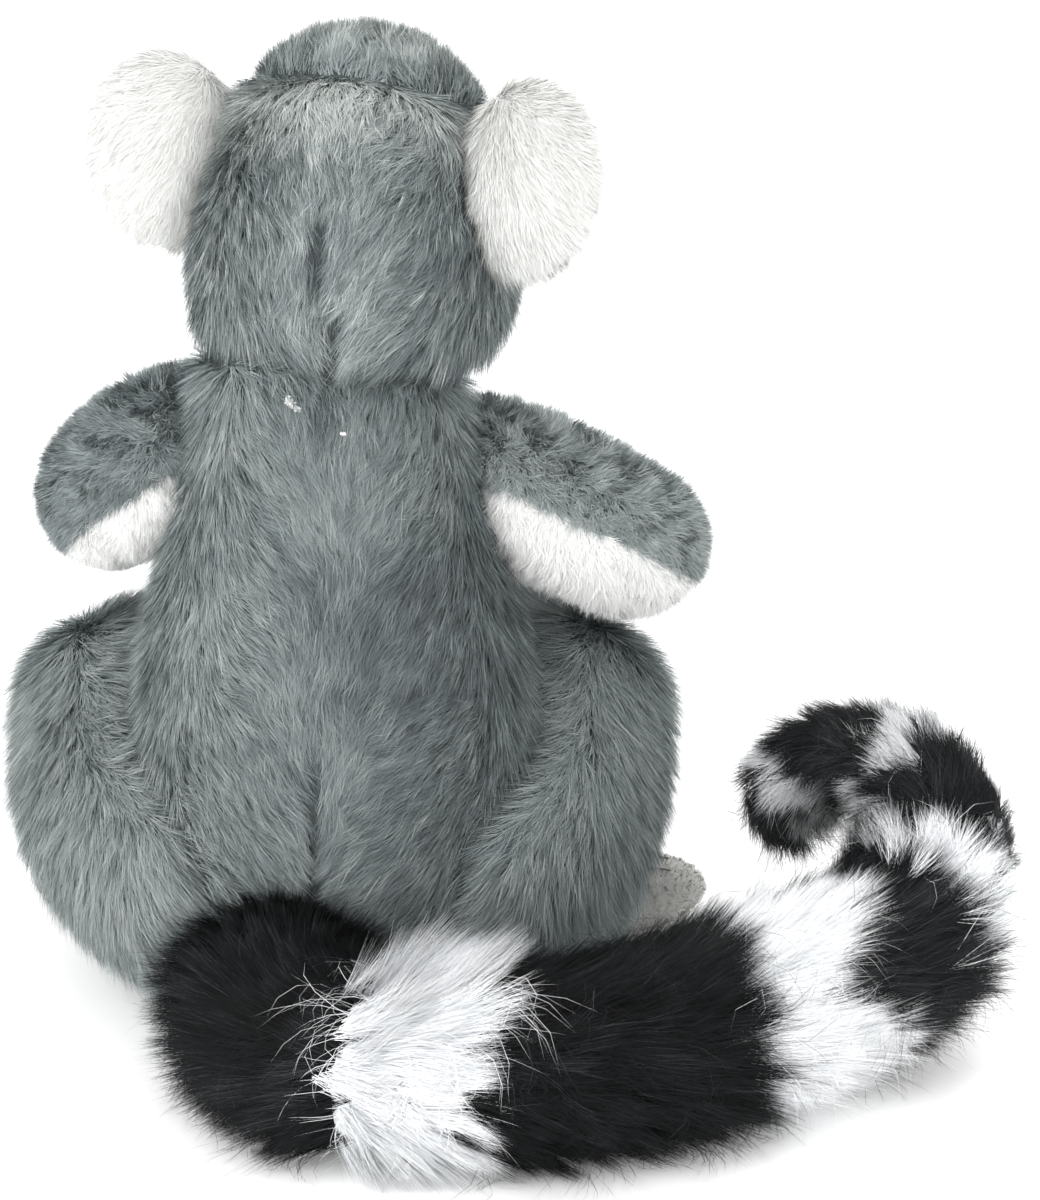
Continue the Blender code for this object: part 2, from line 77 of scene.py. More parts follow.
# Where the pile of the back parts in short creases, and is painted darker there as painted shade: points
# at x and z along each, and its width
CREASES = (
    (((-0.003, 0.1095), (-0.010, 0.1065), (-0.020, 0.1055), (-0.028, 0.1085)), 0.0011),
    (((0.0022, 0.142), (0.0035, 0.134), (0.0030, 0.127)), 0.0013),
    (((-0.0050, 0.1805), (-0.0042, 0.1770)), 0.0011),
    (((-0.012, 0.1245), (-0.018, 0.1225)), 0.0010),
    (((0.057, 0.075), (0.056, 0.062), (0.054, 0.055)), 0.0012),
)

# The tones of each kind of strand, from its shaded depth to its light tips, by their names in
# the settings: the lightest grey is only for the crown and the band under its seam
TONES = {
    "grey_fibre": ("grey_depth", "grey_dark", "grey_middle", "grey_light", "crown_light"),
    "white_fibre": ("white_depth", "white_tips"),
    "ear_fibre": ("ear_depth", "ear_tips"),
    "velour_fibre": ("velour_depth", "velour_tips"),
    "black_fibre": ("eye_ring_depth", "eye_ring_tips"),
    "tail_black_fibre": ("tail_black_depth", "tail_black_middle", "tail_black_tips"),
    "tail_grey_fibre": ("tail_grey_depth", "tail_grey_middle", "tail_grey_tips"),
    "tail_white_fibre": ("tail_white_depth", "tail_white_middle", "tail_white_tips"),
}
BODY_TONES = 4
# The thread of the mouth and the stray fibre, and that of the toes and fingers
STITCH = (0.02, 0.018, 0.017)
TOE_STITCH = (0.16, 0.155, 0.14)
# From how far out a line of stitching is laid on its surface
STITCH_RUN = 0.05

CM2_IN_M2 = 1e4

# Search trees of the CAD nodes' surfaces, filled as they are asked for
TREES = {}

# A surface under the pile: its points, the points above them on the CAD solids, the normals
# and the triangles
Skin = namedtuple("Skin", "points outer normals triangles")
# Where strands stand: their roots, the places above them, the normals and named values there
Spots = namedtuple("Spots", "roots outer normals values")


def unit(vectors):
    return vectors / np.maximum(np.linalg.norm(vectors, axis=-1, keepdims=True), 1e-9)


def ramp(values, start, end):
    """A smooth rise from 0 at start to 1 at end."""
    share = np.clip((values - start) / (end - start), 0.0, 1.0)
    return share * share * (3.0 - 2.0 * share)


def wave(points, size, seed):
    """A smooth field of values about 0 that changes over the given distance."""
    rng = np.random.default_rng(seed)
    total = np.zeros(len(points))
    for _ in range(5):
        direction = unit(rng.normal(size=3)) * rng.uniform(0.7, 1.4) / size
        total += np.sin(2 * math.pi * (points @ direction) + rng.uniform(0, 2 * math.pi))
    return total / 2.2


def add_object(name, data):
    made = bpy.data.objects.new(name, data)
    bpy.context.scene.collection.objects.link(made)
    return made


def mesh_object(name, points, faces):
    mesh = bpy.data.meshes.new(name)
    mesh.from_pydata(points, [], faces)
    mesh.shade_smooth()
    return add_object(name, mesh)


def corners_of(node):
    """The low and the high corner of a CAD node's box."""
    return [np.array(corner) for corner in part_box(node)]


def middle_of(node):
    low, high = corners_of(node)
    return (low + high) / 2


def dress(made, slot, *materials):
    """Gives a piece its materials and lets it ride on the body."""
    made.data.materials.clear()
    for material in materials:
        made.data.materials.append(material)
    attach(made, BODY)
    return made


# Materials

def new_material(name, colour, roughness, specular, sheen=0.0):
    made = bpy.data.materials.new(name)
    made.use_nodes = True
    shader = made.node_tree.nodes["Principled BSDF"]
    shader.inputs["Base Color"].default_value = (*colour, 1.0)
    shader.inputs["Roughness"].default_value = roughness
    shader.inputs["Specular IOR Level"].default_value = specular
    shader.inputs["Sheen Weight"].default_value = sheen
    shader.inputs["Sheen Roughness"].default_value = 0.5
    return made, made.node_tree, shader


def noise_node(tree, scale, detail=3.0):
    """A noise texture in the object's own coordinates."""
    where = tree.nodes.new("ShaderNodeTexCoord")
    noise = tree.nodes.new("ShaderNodeTexNoise")
    noise.inputs["Scale"].default_value = scale
    noise.inputs["Detail"].default_value = detail
    tree.links.new(where.outputs["Object"], noise.inputs["Vector"])
    return noise


def vary_roughness(tree, shader, scale, low, high):
    noise = noise_node(tree, scale)
    spread = tree.nodes.new("ShaderNodeMapRange")
    spread.inputs["To Min"].default_value = low
    spread.inputs["To Max"].default_value = high
    tree.links.new(noise.outputs["Fac"], spread.inputs["Value"])
    tree.links.new(spread.outputs["Result"], shader.inputs["Roughness"])


def mottle(tree, shader, scale, dark, light):
    """Colours the surface in soft patches between two tones."""
    noise = noise_node(tree, scale, 5.0)
    colours = tree.nodes.new("ShaderNodeValToRGB")
    colours.color_ramp.elements[0].position = 0.32
    colours.color_ramp.elements[0].color = (*dark, 1.0)
    colours.color_ramp.elements[1].position = 0.68
    colours.color_ramp.elements[1].color = (*light, 1.0)
    tree.links.new(noise.outputs["Fac"], colours.inputs["Fac"])
    tree.links.new(colours.outputs["Color"], shader.inputs["Base Color"])


def nap_bump(tree, shader, scale, distance):
    """A fine grain of short fibres."""
    noise = noise_node(tree, scale, 6.0)
    bump = tree.nodes.new("ShaderNodeBump")
    bump.inputs["Distance"].default_value = distance
    tree.links.new(noise.outputs["Fac"], bump.inputs["Height"])
    tree.links.new(bump.outputs["Normal"], shader.inputs["Normal"])


def fibre(name, colour, low=0.45, high=0.75, sheen=0.0, specular=0.22):
    """The material of one tone of strands: its gloss changes from lock to lock."""
    made, tree, shader = new_material(name, colour, 0.6, specular, sheen)
    vary_roughness(tree, shader, 180.0, low, high)
    return made


def backing(name, dark, light):
    """The knitted ground that the pile stands on."""
    made, tree, shader = new_material(name, dark, 0.95, 0.1)
    mottle(tree, shader, 220.0, dark, light)
    nap_bump(tree, shader, 1500.0, 0.0006)
    return made


def two_tone_backing(name, dark, light):
    """A ground that is dark or pale, as the skin's own value at each point says."""
    made, tree, shader = new_material(name, dark, 0.95, 0.1)
    pale = tree.nodes.new("ShaderNodeAttribute")
    pale.attribute_name = "pale"
    mix = tree.nodes.new("ShaderNodeMix")
    mix.data_type = "RGBA"
    mix.inputs["A"].default_value = (*dark, 1.0)
    mix.inputs["B"].default_value = (*light, 1.0)
    tree.links.new(pale.outputs["Fac"], mix.inputs["Factor"])
    tree.links.new(mix.outputs["Result"], shader.inputs["Base Color"])
    nap_bump(tree, shader, 1500.0, 0.0006)
    return made


def made_once(name, make, *values, **settings):
    """The material of this name, made when it is first asked for."""
    return bpy.data.materials.get(name) or make(name, *values, **settings)


def fibres(name, *gloss, **settings):
    """One material for each tone of this kind of strand, in the colours of the settings."""
    colours = bpy.context.scene.lemur_colours
    return [
        made_once("%s_%d" % (name, number), fibre, getattr(colours, tone), *gloss, **settings)
        for number, tone in enumerate(TONES[name], 1)
    ]


def body_backing():
    return made_once("body_backing", two_tone_backing, (0.07, 0.08, 0.082), (0.88, 0.88, 0.87))


def grey_backing():
    return made_once("grey_backing", backing, (0.045, 0.055, 0.057), (0.10, 0.12, 0.12))


def white_backing():
    return made_once("white_backing", backing, (0.80, 0.80, 0.79), (0.86, 0.86, 0.85))


def black_backing():
    return made_once("black_backing", backing, (0.006, 0.007, 0.007), (0.015, 0.016, 0.016))


def all_greys():
    return fibres("grey_fibre")


def body_greys():
    """The grey pile of the body, without the crown's lightest tone."""
    return all_greys()[:BODY_TONES]


def whites():
    return fibres("white_fibre", sheen=0.1)


def velour_material(name, dark, light):
    """Very short brushed pile: soft mottling, a fine nap and a little sheen."""
    made, tree, shader = new_material(name, light, 0.85, 0.2, 0.3)
    mottle(tree, shader, 260.0, dark, light)
    nap_bump(tree, shader, 2600.0, 0.0004)
    return made


def velour():
    return made_once("velour", velour_material, (0.50, 0.49, 0.465), (0.64, 0.63, 0.60))


def thread_material(name, colour):
    made, tree, shader = new_material(name, colour, 0.7, 0.3)
    vary_roughness(tree, shader, 900.0, 0.5, 0.9)
    return made


# Skins

def joined_form(nodes):
    """One mesh of these CAD solids, each grown a little so that they close on each other."""
    joined = bmesh.new()
    for name in nodes:
        joined.from_mesh(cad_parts[name].data)
    bmesh.ops.remove_doubles(joined, verts=joined.verts, dist=WELD)
    joined.normal_update()
    for vertex in joined.verts:
        vertex.co += vertex.normal * SEAM_FILL
    mesh = bpy.data.meshes.new("form")
    joined.to_mesh(mesh)
    joined.free()
    return mesh


def remeshed(mesh, voxel):
    """The points, edges and triangles of the mesh after an even remesh."""
    form = add_object("form", mesh)
    step = form.modifiers.new("remesh", "REMESH")
    step.mode = "VOXEL"
    step.voxel_size = voxel
    graph = bpy.context.evaluated_depsgraph_get()
    done = bpy.data.meshes.new_from_object(form.evaluated_get(graph))
    bpy.data.objects.remove(form)
    points = np.empty(len(done.vertices) * 3)
    done.vertices.foreach_get("co", points)
    edges = np.empty(len(done.edges) * 2, dtype=int)
    done.edges.foreach_get("vertices", edges)
    done.calc_loop_triangles()
    triangles = np.empty(len(done.loop_triangles) * 3, dtype=int)
    done.loop_triangles.foreach_get("vertices", triangles)
    return points.reshape(-1, 3), edges.reshape(-1, 2), triangles.reshape(-1, 3)


def smoothed(points, edges, rounds):
    near = np.bincount(edges.ravel(), minlength=len(points))[:, None]
    for _ in range(rounds):
        total = np.zeros_like(points)
        np.add.at(total, edges[:, 0], points[edges[:, 1]])
        np.add.at(total, edges[:, 1], points[edges[:, 0]])
        points = points * 0.5 + total / np.maximum(near, 1) * 0.5
    return points


def point_normals(points, triangles):
    a, b, c = (points[triangles[:, i]] for i in range(3))
    across = np.cross(b - a, c - a)
    normals = np.zeros_like(points)
    for i in range(3):
        np.add.at(normals, triangles[:, i], across)
    return unit(normals)


def skin_of(nodes, depth, voxel=0.003, rounds=10, against=(), sink=0.0):
    """The skin of a stuffed piece, the pile's height below its CAD solids.

    depth is that height, or a function of the points and normals that gives it. The skin stays
    down on the floor where the piece rests on it, and runs on into the nodes it lies against.
    """
    points, edges, triangles = remeshed(joined_form(nodes), voxel)
    outer = smoothed(points, edges, rounds)
    outer[:, 2] = np.maximum(outer[:, 2], 0.0)
    normals = point_normals(outer, triangles)
    height = depth(outer, normals) if callable(depth) else np.full(len(outer), depth)
    inner = outer - normals * height[:, None]
    held = ramp(outer[:, 2], 0.0, 0.012)
    inner[:, 2] = outer[:, 2] * (1 - held) + inner[:, 2] * held
    if against:
        inner = inner + sunk(outer, against, sink)
    inner[:, 2] = np.maximum(inner[:, 2], FLOOR_CLEARANCE)
    return Skin(inner, outer, normals, triangles)


def skin_piece(name, skin, slot, material, fill, *nodes, pale=None):
    """The skin itself as a piece that stands for its CAD nodes, which it hides."""
    made = mesh_object(name, skin.points.tolist(), skin.triangles.tolist())
    if pale is not None:
        made.data.attributes.new("pale", "FLOAT", "POINT").data.foreach_set(
            "value", pale.astype(np.float32))
    dress(made, slot, material)
    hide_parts(*nodes)
    return made


def tree_of(node):
    """A search tree of a CAD node's surface, made once."""
    if node not in TREES:
        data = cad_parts[node].data
        TREES[node] = BVHTree.FromPolygons(
            [vertex.co for vertex in data.vertices],
            [polygon.vertices for polygon in data.polygons],
        )
    return TREES[node]


def distances(points, node, limit=0.02):
    """How far each point lies from the surface of a CAD node, up to a limit: less than 0 inside it.

    Beside a sharp edge the nearest face can't tell in from out, so a point counts as inside only
    where it lies straight behind its nearest face.
    """
    tree = tree_of(node)
    found = np.full(len(points), limit)
    for i, point in enumerate(points):
        place, normal, _, distance = tree.find_nearest(point, limit)
        if place is not None:
            inside = (Vector(point) - place).dot(normal) < -0.8 * distance
            found[i] = -distance if inside else distance
    return found


def reach_of(points, node, limit=0.02):
    """How far each point lies from the surface of a CAD node, inside or outside."""
    return np.abs(distances(points, node, limit))


def sunk(points, nodes, amount, reach=0.0035):
    """The moves that take what lies against these neighbours into them, so that no gap shows."""
    moves = np.zeros_like(points)
    nearest = np.full(len(points), reach)
    for node in nodes:
        tree = tree_of(node)
        for i, point in enumerate(points):
            place, normal, _, distance = tree.find_nearest(point, nearest[i])
            if place is not None:
                nearest[i] = distance
                moves[i] = -normal
    return moves * (ramp(nearest, reach, 0.0008) * amount)[:, None]


def crowding(skin, nodes):
    """How far each place on the outside is from the nearest of these neighbours."""
    nearest = np.full(len(skin.outer), 0.02)
    for node in nodes:
        low, high = corners_of(node)
        close = np.all((skin.outer > low - 0.02) & (skin.outer < high + 0.02), axis=1)
        if close.any():
            nearest[close] = np.minimum(nearest[close], distances(skin.outer[close], node))
    return nearest


# Pile

def scatter(skin, density, rng, **values):
    """Spots spread over the skin, so many on each square metre, with values read off its points."""
    a, b, c = (skin.points[skin.triangles[:, i]] for i in range(3))
    areas = np.linalg.norm(np.cross(b - a, c - a), axis=1) / 2
    wanted = areas * density
    if "thick" in values:
        wanted = wanted * values["thick"][skin.triangles].mean(axis=1)
    counts = rng.poisson(wanted)
    which = np.repeat(np.arange(len(areas)), counts)
    u, v = rng.random((2, len(which)))
    over = u + v > 1
    u[over], v[over] = 1 - u[over], 1 - v[over]
    shares = np.stack([1 - u - v, u, v], axis=1)
    corners = skin.triangles[which]

    def read(field):
        weights = shares[..., None] if field.ndim > 1 else shares
        return (field[corners] * weights).sum(axis=1)

    found = {name: read(value) for name, value in values.items()}
    return Spots(read(skin.points), read(skin.outer), unit(read(skin.normals)), found)


def chosen(spots, keep):
    values = {name: value[keep] for name, value in spots.values.items()}
    return Spots(spots.roots[keep], spots.outer[keep], spots.normals[keep], values)


# One kind of pile: strand length and width, lift off the skin at the root and the tip in radians,
# how much single strands and whole locks stray, lock size, how much a lock's tips gather, droop,
# the number of segments and how far locks curl sideways
Pile = namedtuple(
    "Pile", "length width lift tip_lift stray lock_stray lock_size gather droop segments curl",
    defaults=(0.0,),
)


def grow(spots, density, pile, heading, rng, lengthen=None):
    """The points along each strand and its side direction, and the lock that it belongs to."""
    count = len(spots.roots)
    area = count / density
    number = max(1, min(count, int(area / (math.pi * pile.lock_size ** 2))))
    middles = rng.choice(count, number, replace=False)
    tree = KDTree(number)
    for i, middle in enumerate(middles):
        tree.insert(spots.roots[middle], i)
    tree.balance()
    lock = np.array([tree.find(root)[1] for root in spots.roots])

    normals = spots.normals
    along = unit(heading - normals * (heading * normals).sum(axis=1, keepdims=True))
    turn = rng.normal(0, pile.lock_stray, number)[lock] + rng.normal(0, pile.stray, count)
    along = swirled(along, normals, turn)
    curl = rng.normal(0, 1, number)[lock] * pile.curl + rng.normal(0, 0.4, count) * pile.curl
    lift_stray = rng.normal(0, pile.lock_stray * 0.5, number)[lock]
    lift_stray += rng.normal(0, pile.stray * 0.5, count)
    length = pile.length * rng.normal(1, 0.10, number)[lock] * rng.normal(1, 0.13, count)
    if lengthen is not None:
        length = length * lengthen
    length = np.clip(length, pile.length * 0.3, pile.length * 1.8)

    path = [spots.roots - normals * pile.width]
    for step in range(pile.segments):
        share = (step + 0.5) / pile.segments
        lift = pile.lift + (pile.tip_lift - pile.lift) * share + lift_stray
        lift = np.clip(lift, 0.05, 1.5)[:, None]
        way = swirled(along, normals, curl * share) if pile.curl else along
        move = way * np.cos(lift) + normals * np.sin(lift)
        move[:, 2] -= pile.droop * share
        path.append(path[-1] + unit(move) * (length / pile.segments)[:, None])
    path = np.stack(path, axis=1)
    shares = np.linspace(0, 1, pile.segments + 1) ** 1.3
    pull = (spots.roots[middles][lock] - spots.roots) * pile.gather
    path += pull[:, None, :] * shares[None, :, None]
    path[..., 2] = np.maximum(path[..., 2], FLOOR_CLEARANCE)

    flat = unit(np.cross(path[:, -1] - path[:, 0], normals))
    twist = rng.uniform(-0.9, 0.9, count)[:, None]
    run = unit(path[:, -1] - path[:, 0])
    side = flat * np.cos(twist) + np.cross(run, flat) * np.sin(twist)
    return path, side, lock


def ribbons(name, path, side, normals, width, rng, soft_share=0.62):
    """A mesh object of one tapering ribbon for each strand.

    The ribbons are shaded by their own way of facing and, by the soft share, by the skin's.
    """
    count, steps, _ = path.shape
    segments = steps - 1
    taper = 1.0 - 0.5 * np.linspace(0, 1, segments, endpoint=False)
    widths = width * rng.uniform(0.7, 1.25, count)
    offset = side[:, None, :] * (widths[:, None] * taper[None, :] / 2)[..., None]
    size = 2 * segments + 1
    points = np.empty((count, size, 3))
    points[:, 0:-1:2] = path[:, :-1] - offset
    points[:, 1:-1:2] = path[:, :-1] + offset
    points[:, -1] = path[:, -1]
    points[..., 2] = np.maximum(points[..., 2], FLOOR_CLEARANCE)

    facing = unit(np.cross(side[:, None, :], np.diff(path, axis=1)))
    jitter = rng.normal(0, 0.26 * (1 - soft_share) + 0.06, (count, 1, 3))
    shading = np.empty_like(points)
    soft = unit(normals[:, None, :] * soft_share + facing * (1.1 - soft_share) + jitter)
    shading[:, 0:-1:2] = soft
    shading[:, 1:-1:2] = soft
    shading[:, -1] = soft[:, -1]

    corners = []
    starts = []
    for i in range(segments - 1):
        starts.append(len(corners))
        corners += [2 * i, 2 * i + 1, 2 * i + 3, 2 * i + 2]
    starts.append(len(corners))
    corners += [size - 3, size - 2, size - 1]
    first = np.arange(count)[:, None]
    loops = (first * size + np.array(corners)[None]).ravel()
    loop_starts = (first * len(corners) + np.array(starts)[None]).ravel()

    mesh = bpy.data.meshes.new(name)
    mesh.vertices.add(count * size)
    mesh.vertices.foreach_set("co", points.astype(np.float32).ravel())
    mesh.loops.add(len(loops))
    mesh.loops.foreach_set("vertex_index", loops.astype(np.int32))
    mesh.polygons.add(len(loop_starts))
    mesh.polygons.foreach_set("loop_start", loop_starts.astype(np.int32))
    mesh.update(calc_edges=True)
    mesh.normals_split_custom_set_from_vertices(shading.reshape(-1, 3).astype(np.float32))
    return add_object(name, mesh)


def tone_of(level, lock, rng, lock_spread=0.12, strand_spread=0.16):
    """The tone of each strand, from 0 to 1: the level of its place, its lock's and its own."""
    own = rng.normal(0, lock_spread, lock.max() + 1)[lock]
    return np.clip(level + own + rng.normal(0, strand_spread, len(lock)), 0.0, 0.999)


def pile_pieces(name, grown, spots, tones, slot, materials, width, rng, soft_share=0.62):
    """One piece of strands for each tone, named after the stuffed piece that they stand on."""
    path, side, _ = grown
    which = (tones * len(materials)).astype(int)
    for i, material in enumerate(materials):
        keep = which == i
        if keep.any():
            made = ribbons("%s_%d" % (name, i + 1), path[keep], side[keep], spots.normals[keep],
                           width, rng, soft_share)
            dress(made, slot, material)


def turned_away(skin):
    """Less pile on what faces the front, away from the camera."""
    return 1 - 0.42 * ramp(-skin.normals[:, 1], 0.1, 0.7)


def beside_others(room, clear=0.0012, least=0.1):
    """Less pile where the neighbours leave no room for it."""
    return ramp(room, 0.0, clear) * (1 - least) + least


def off_floor(skin):
    """Less pile where the piece rests on the floor."""
    return ramp(skin.outer[:, 2], -0.001, 0.002) * 0.9 + 0.1


def thinned(density, share=1.0):
    """Strands on each square metre, from a share of a density on each square centimetre.
    """
    full = density * (share * CM2_IN_M2)
    return full


def strand_width(width):
    return width


def groove(points, low, high):
    """How near these points are to the groove of the middle seam between two heights."""
    height = ramp(points[:, 2], high, high - 0.010) * ramp(points[:, 2], low - 0.004, low)
    return ramp(np.abs(from_seam(points)), 0.0036, 0.0013) * height * (points[:, 1] > 0)


def from_seam(points):
    """How far each point stands to the side of the seam down the middle."""
    return points[:, 0] - np.interp(points[:, 2], SEAM_HEIGHTS, SEAM_PLACES)


def creased(points):
    """How far these points lie in the creases of the back, from 0 to 1: there the pile is shorter and
    painted darker as painted shade.
    """
    found = np.zeros(len(points))
    flat = points[:, (0, 2)]
    for line, width in CREASES:
        for a, b in zip(line, line[1:]):
            a, b = np.array(a), np.array(b)
            share = np.clip((flat - a) @ (b - a) / ((b - a) @ (b - a)), 0, 1)
            away = np.linalg.norm(flat - a - share[:, None] * (b - a), axis=1)
            found = np.maximum(found, np.exp(-(away / width) ** 2))
    return found * (points[:, 1] > 0)


def towards_middle(points, inward):
    """Downwards and in towards the seam along the middle of the back."""
    aside = from_seam(points)
    side = np.sign(aside) * np.clip((np.abs(aside) - SEAM_GROOVE) / 0.022, 0, 1)
    return np.stack([-side * inward, np.zeros(len(points)), -np.ones(len(points))], axis=1)


def swirled(heading, normals, angle):
    """The heading turned about the normals."""
    angle = angle[:, None]
    return heading * np.cos(angle) + np.cross(normals, heading) * np.sin(angle)


def reached(spots, heading, length):
    """About where the strands that start here show, further along their way."""
    along = heading - spots.normals * (heading * spots.normals).sum(axis=1, keepdims=True)
    return spots.outer + unit(along) * length * 0.6


# Settings

class BodyPile(bpy.types.PropertyGroup):
    """The grey pile of the body, head and legs."""
    density: FloatProperty(name="Density", description="Strands on each square centimetre", default=430)
    length: FloatProperty(name="Length", description="Strand length", default=0.0098, unit="LENGTH")
    width: FloatProperty(name="Width", description="Strand width", default=0.00026, unit="LENGTH")
    lift: FloatProperty(
        name="Lift", description="Angle off the skin", default=math.radians(27), subtype="ANGLE")
    height: FloatProperty(
        name="Height", description="Depth of the skin under the outline", default=0.0036, unit="LENGTH")


class ShortPile(bpy.types.PropertyGroup):
    """The short dense pile of the arms, face and underarms."""
    density: FloatProperty(name="Density", description="Strands on each square centimetre", default=720)
    length: FloatProperty(name="Length", description="Strand length", default=0.0046, unit="LENGTH")
    width: FloatProperty(name="Width", description="Strand width", default=0.00026, unit="LENGTH")
    height: FloatProperty(
        name="Height", description="Depth of the skin under the outline", default=0.0024, unit="LENGTH")


class TailPile(bpy.types.PropertyGroup):
    """The long loose pile of the tail."""
    density: FloatProperty(name="Density", description="Strands on each square centimetre", default=430)
    length: FloatProperty(name="Length", description="Strand length", default=0.0150, unit="LENGTH")
    long_density: FloatProperty(
        name="Long density", description="Long strands on each square centimetre", default=24)
    long_length: FloatProperty(
        name="Long length", description="Length of the longest strands", default=0.024, unit="LENGTH")
    width: FloatProperty(name="Width", description="Strand width", default=0.00024, unit="LENGTH")


def strand_colour(name, default):
    """One colour that a user may change."""
    return FloatVectorProperty(
        name=name, description="Colour of these strands", default=default, subtype="COLOR",
        size=3, min=0.0, max=1.0)


class PileColours(bpy.types.PropertyGroup):
    """The colours of all the strands: the ears' white is painted darker than the other whites, as
    painted shade against the full light that falls on the ears.
    """
    grey_depth: strand_colour("Grey depth", (0.120, 0.141, 0.144))
    grey_dark: strand_colour("Grey dark", (0.210, 0.244, 0.248))
    grey_middle: strand_colour("Grey middle", (0.315, 0.356, 0.356))
    grey_light: strand_colour("Grey light", (0.46, 0.500, 0.492))
    crown_light: strand_colour("Crown light", (0.68, 0.715, 0.695))
    white_depth: strand_colour("White depth", (0.93, 0.93, 0.915))
    white_tips: strand_colour("White tips", (0.975, 0.975, 0.965))
    # The ears' white: a darker copy of the white, painted shade for the full light on the ears
    ear_depth: strand_colour("Ear depth", (0.795, 0.80, 0.78))
    ear_tips: strand_colour("Ear tips", (0.835, 0.84, 0.82))
    velour_depth: strand_colour("Velour depth", (0.58, 0.57, 0.545))
    velour_tips: strand_colour("Velour tips", (0.66, 0.65, 0.625))
    eye_ring_depth: strand_colour("Eye ring depth", (0.010, 0.011, 0.012))
    eye_ring_tips: strand_colour("Eye ring tips", (0.026, 0.028, 0.030))
    tail_black_depth: strand_colour("Tail black depth", (0.004, 0.0045, 0.005))
    tail_black_middle: strand_colour("Tail black middle", (0.011, 0.012, 0.013))
    # The lightest black: grey tips of the strands, and partly painted sheen
    tail_black_tips: strand_colour("Tail black tips", (0.045, 0.048, 0.050))
    tail_grey_depth: strand_colour("Tail grey depth", (0.40, 0.41, 0.42))
    tail_grey_middle: strand_colour("Tail grey middle", (0.60, 0.61, 0.62))
    tail_grey_tips: strand_colour("Tail grey tips", (0.80, 0.81, 0.82))
    tail_white_depth: strand_colour("Tail white depth", (0.87, 0.89, 0.92))
    tail_white_middle: strand_colour("Tail white middle", (0.94, 0.955, 0.97))
    tail_white_tips: strand_colour("Tail white tips", (0.97, 0.98, 0.99))


class StageSettings(bpy.types.PropertyGroup):
    """Floor, lights and camera."""
    target: FloatVectorProperty(
        name="Target", description="What the camera looks at", default=(-0.052, 0.0, 0.120),
        subtype="TRANSLATION")
    distance: FloatProperty(
        name="Distance", description="From the camera to its target", default=1.0, unit="LENGTH")
    elevation: FloatProperty(
        name="Elevation", description="How far up the camera stands", default=math.radians(20),
        subtype="ANGLE")
    frame_width: FloatProperty(
        name="Frame width", description="Width of the view at the target", default=0.2912,
        unit="LENGTH")
    key: FloatProperty(name="Key light", description="Power of the key light", default=14.0)
    sky: FloatProperty(name="Sky", description="Strength of the even light", default=1.1)
    floor_size: FloatProperty(
        name="Floor size", description="Side of the floor", default=12.0, unit="LENGTH")


# Stage

def area_light(name, place, target, size, power):
    data = bpy.data.lights.new(name, "AREA")
    data.shape = "DISK"
    data.size = size
    data.energy = power
    light = add_object(name, data)
    light.location = place
    light.rotation_euler = (Vector(target) - Vector(place)).to_track_quat("-Z", "Y").to_euler()


def white_world(strength):
    """Even light from all round, with plain white behind the object."""
    world = bpy.data.worlds.new("studio")
    bpy.context.scene.world = world
    world.use_nodes = True
    tree = world.node_tree
    light = tree.nodes["Background"]
    light.inputs["Color"].default_value = (1.0, 1.0, 1.0, 1.0)
    light.inputs["Strength"].default_value = strength
    backdrop = tree.nodes.new("ShaderNodeBackground")
    backdrop.inputs["Color"].default_value = (1.0, 1.0, 1.0, 1.0)
    path = tree.nodes.new("ShaderNodeLightPath")
    seen = tree.nodes.new("ShaderNodeMath")
    seen.operation = "MAXIMUM"
    tree.links.new(path.outputs["Is Camera Ray"], seen.inputs[0])
    tree.links.new(path.outputs["Is Glossy Ray"], seen.inputs[1])
    seen_all = tree.nodes.new("ShaderNodeMath")
    seen_all.operation = "MAXIMUM"
    tree.links.new(seen.outputs["Value"], seen_all.inputs[0])
    tree.links.new(path.outputs["Is Transmission Ray"], seen_all.inputs[1])
    mix = tree.nodes.new("ShaderNodeMixShader")
    tree.links.new(seen_all.outputs["Value"], mix.inputs["Fac"])
    tree.links.new(light.outputs["Background"], mix.inputs[1])
    tree.links.new(backdrop.outputs["Background"], mix.inputs[2])
    tree.links.new(mix.outputs["Shader"], tree.nodes["World Output"].inputs["Surface"])


def floor_material():
    made, tree, shader = new_material("floor", (0.96, 0.96, 0.96), 0.9, 0.0)
    mottle(tree, shader, 1.5, (0.965, 0.965, 0.965), (0.975, 0.975, 0.975))
    # The floor glows a little: painted light that lifts the object's shadow on it
    shader.inputs["Emission Color"].default_value = (1.0, 1.0, 1.0, 1.0)
    shader.inputs["Emission Strength"].default_value = 0.14
    return made


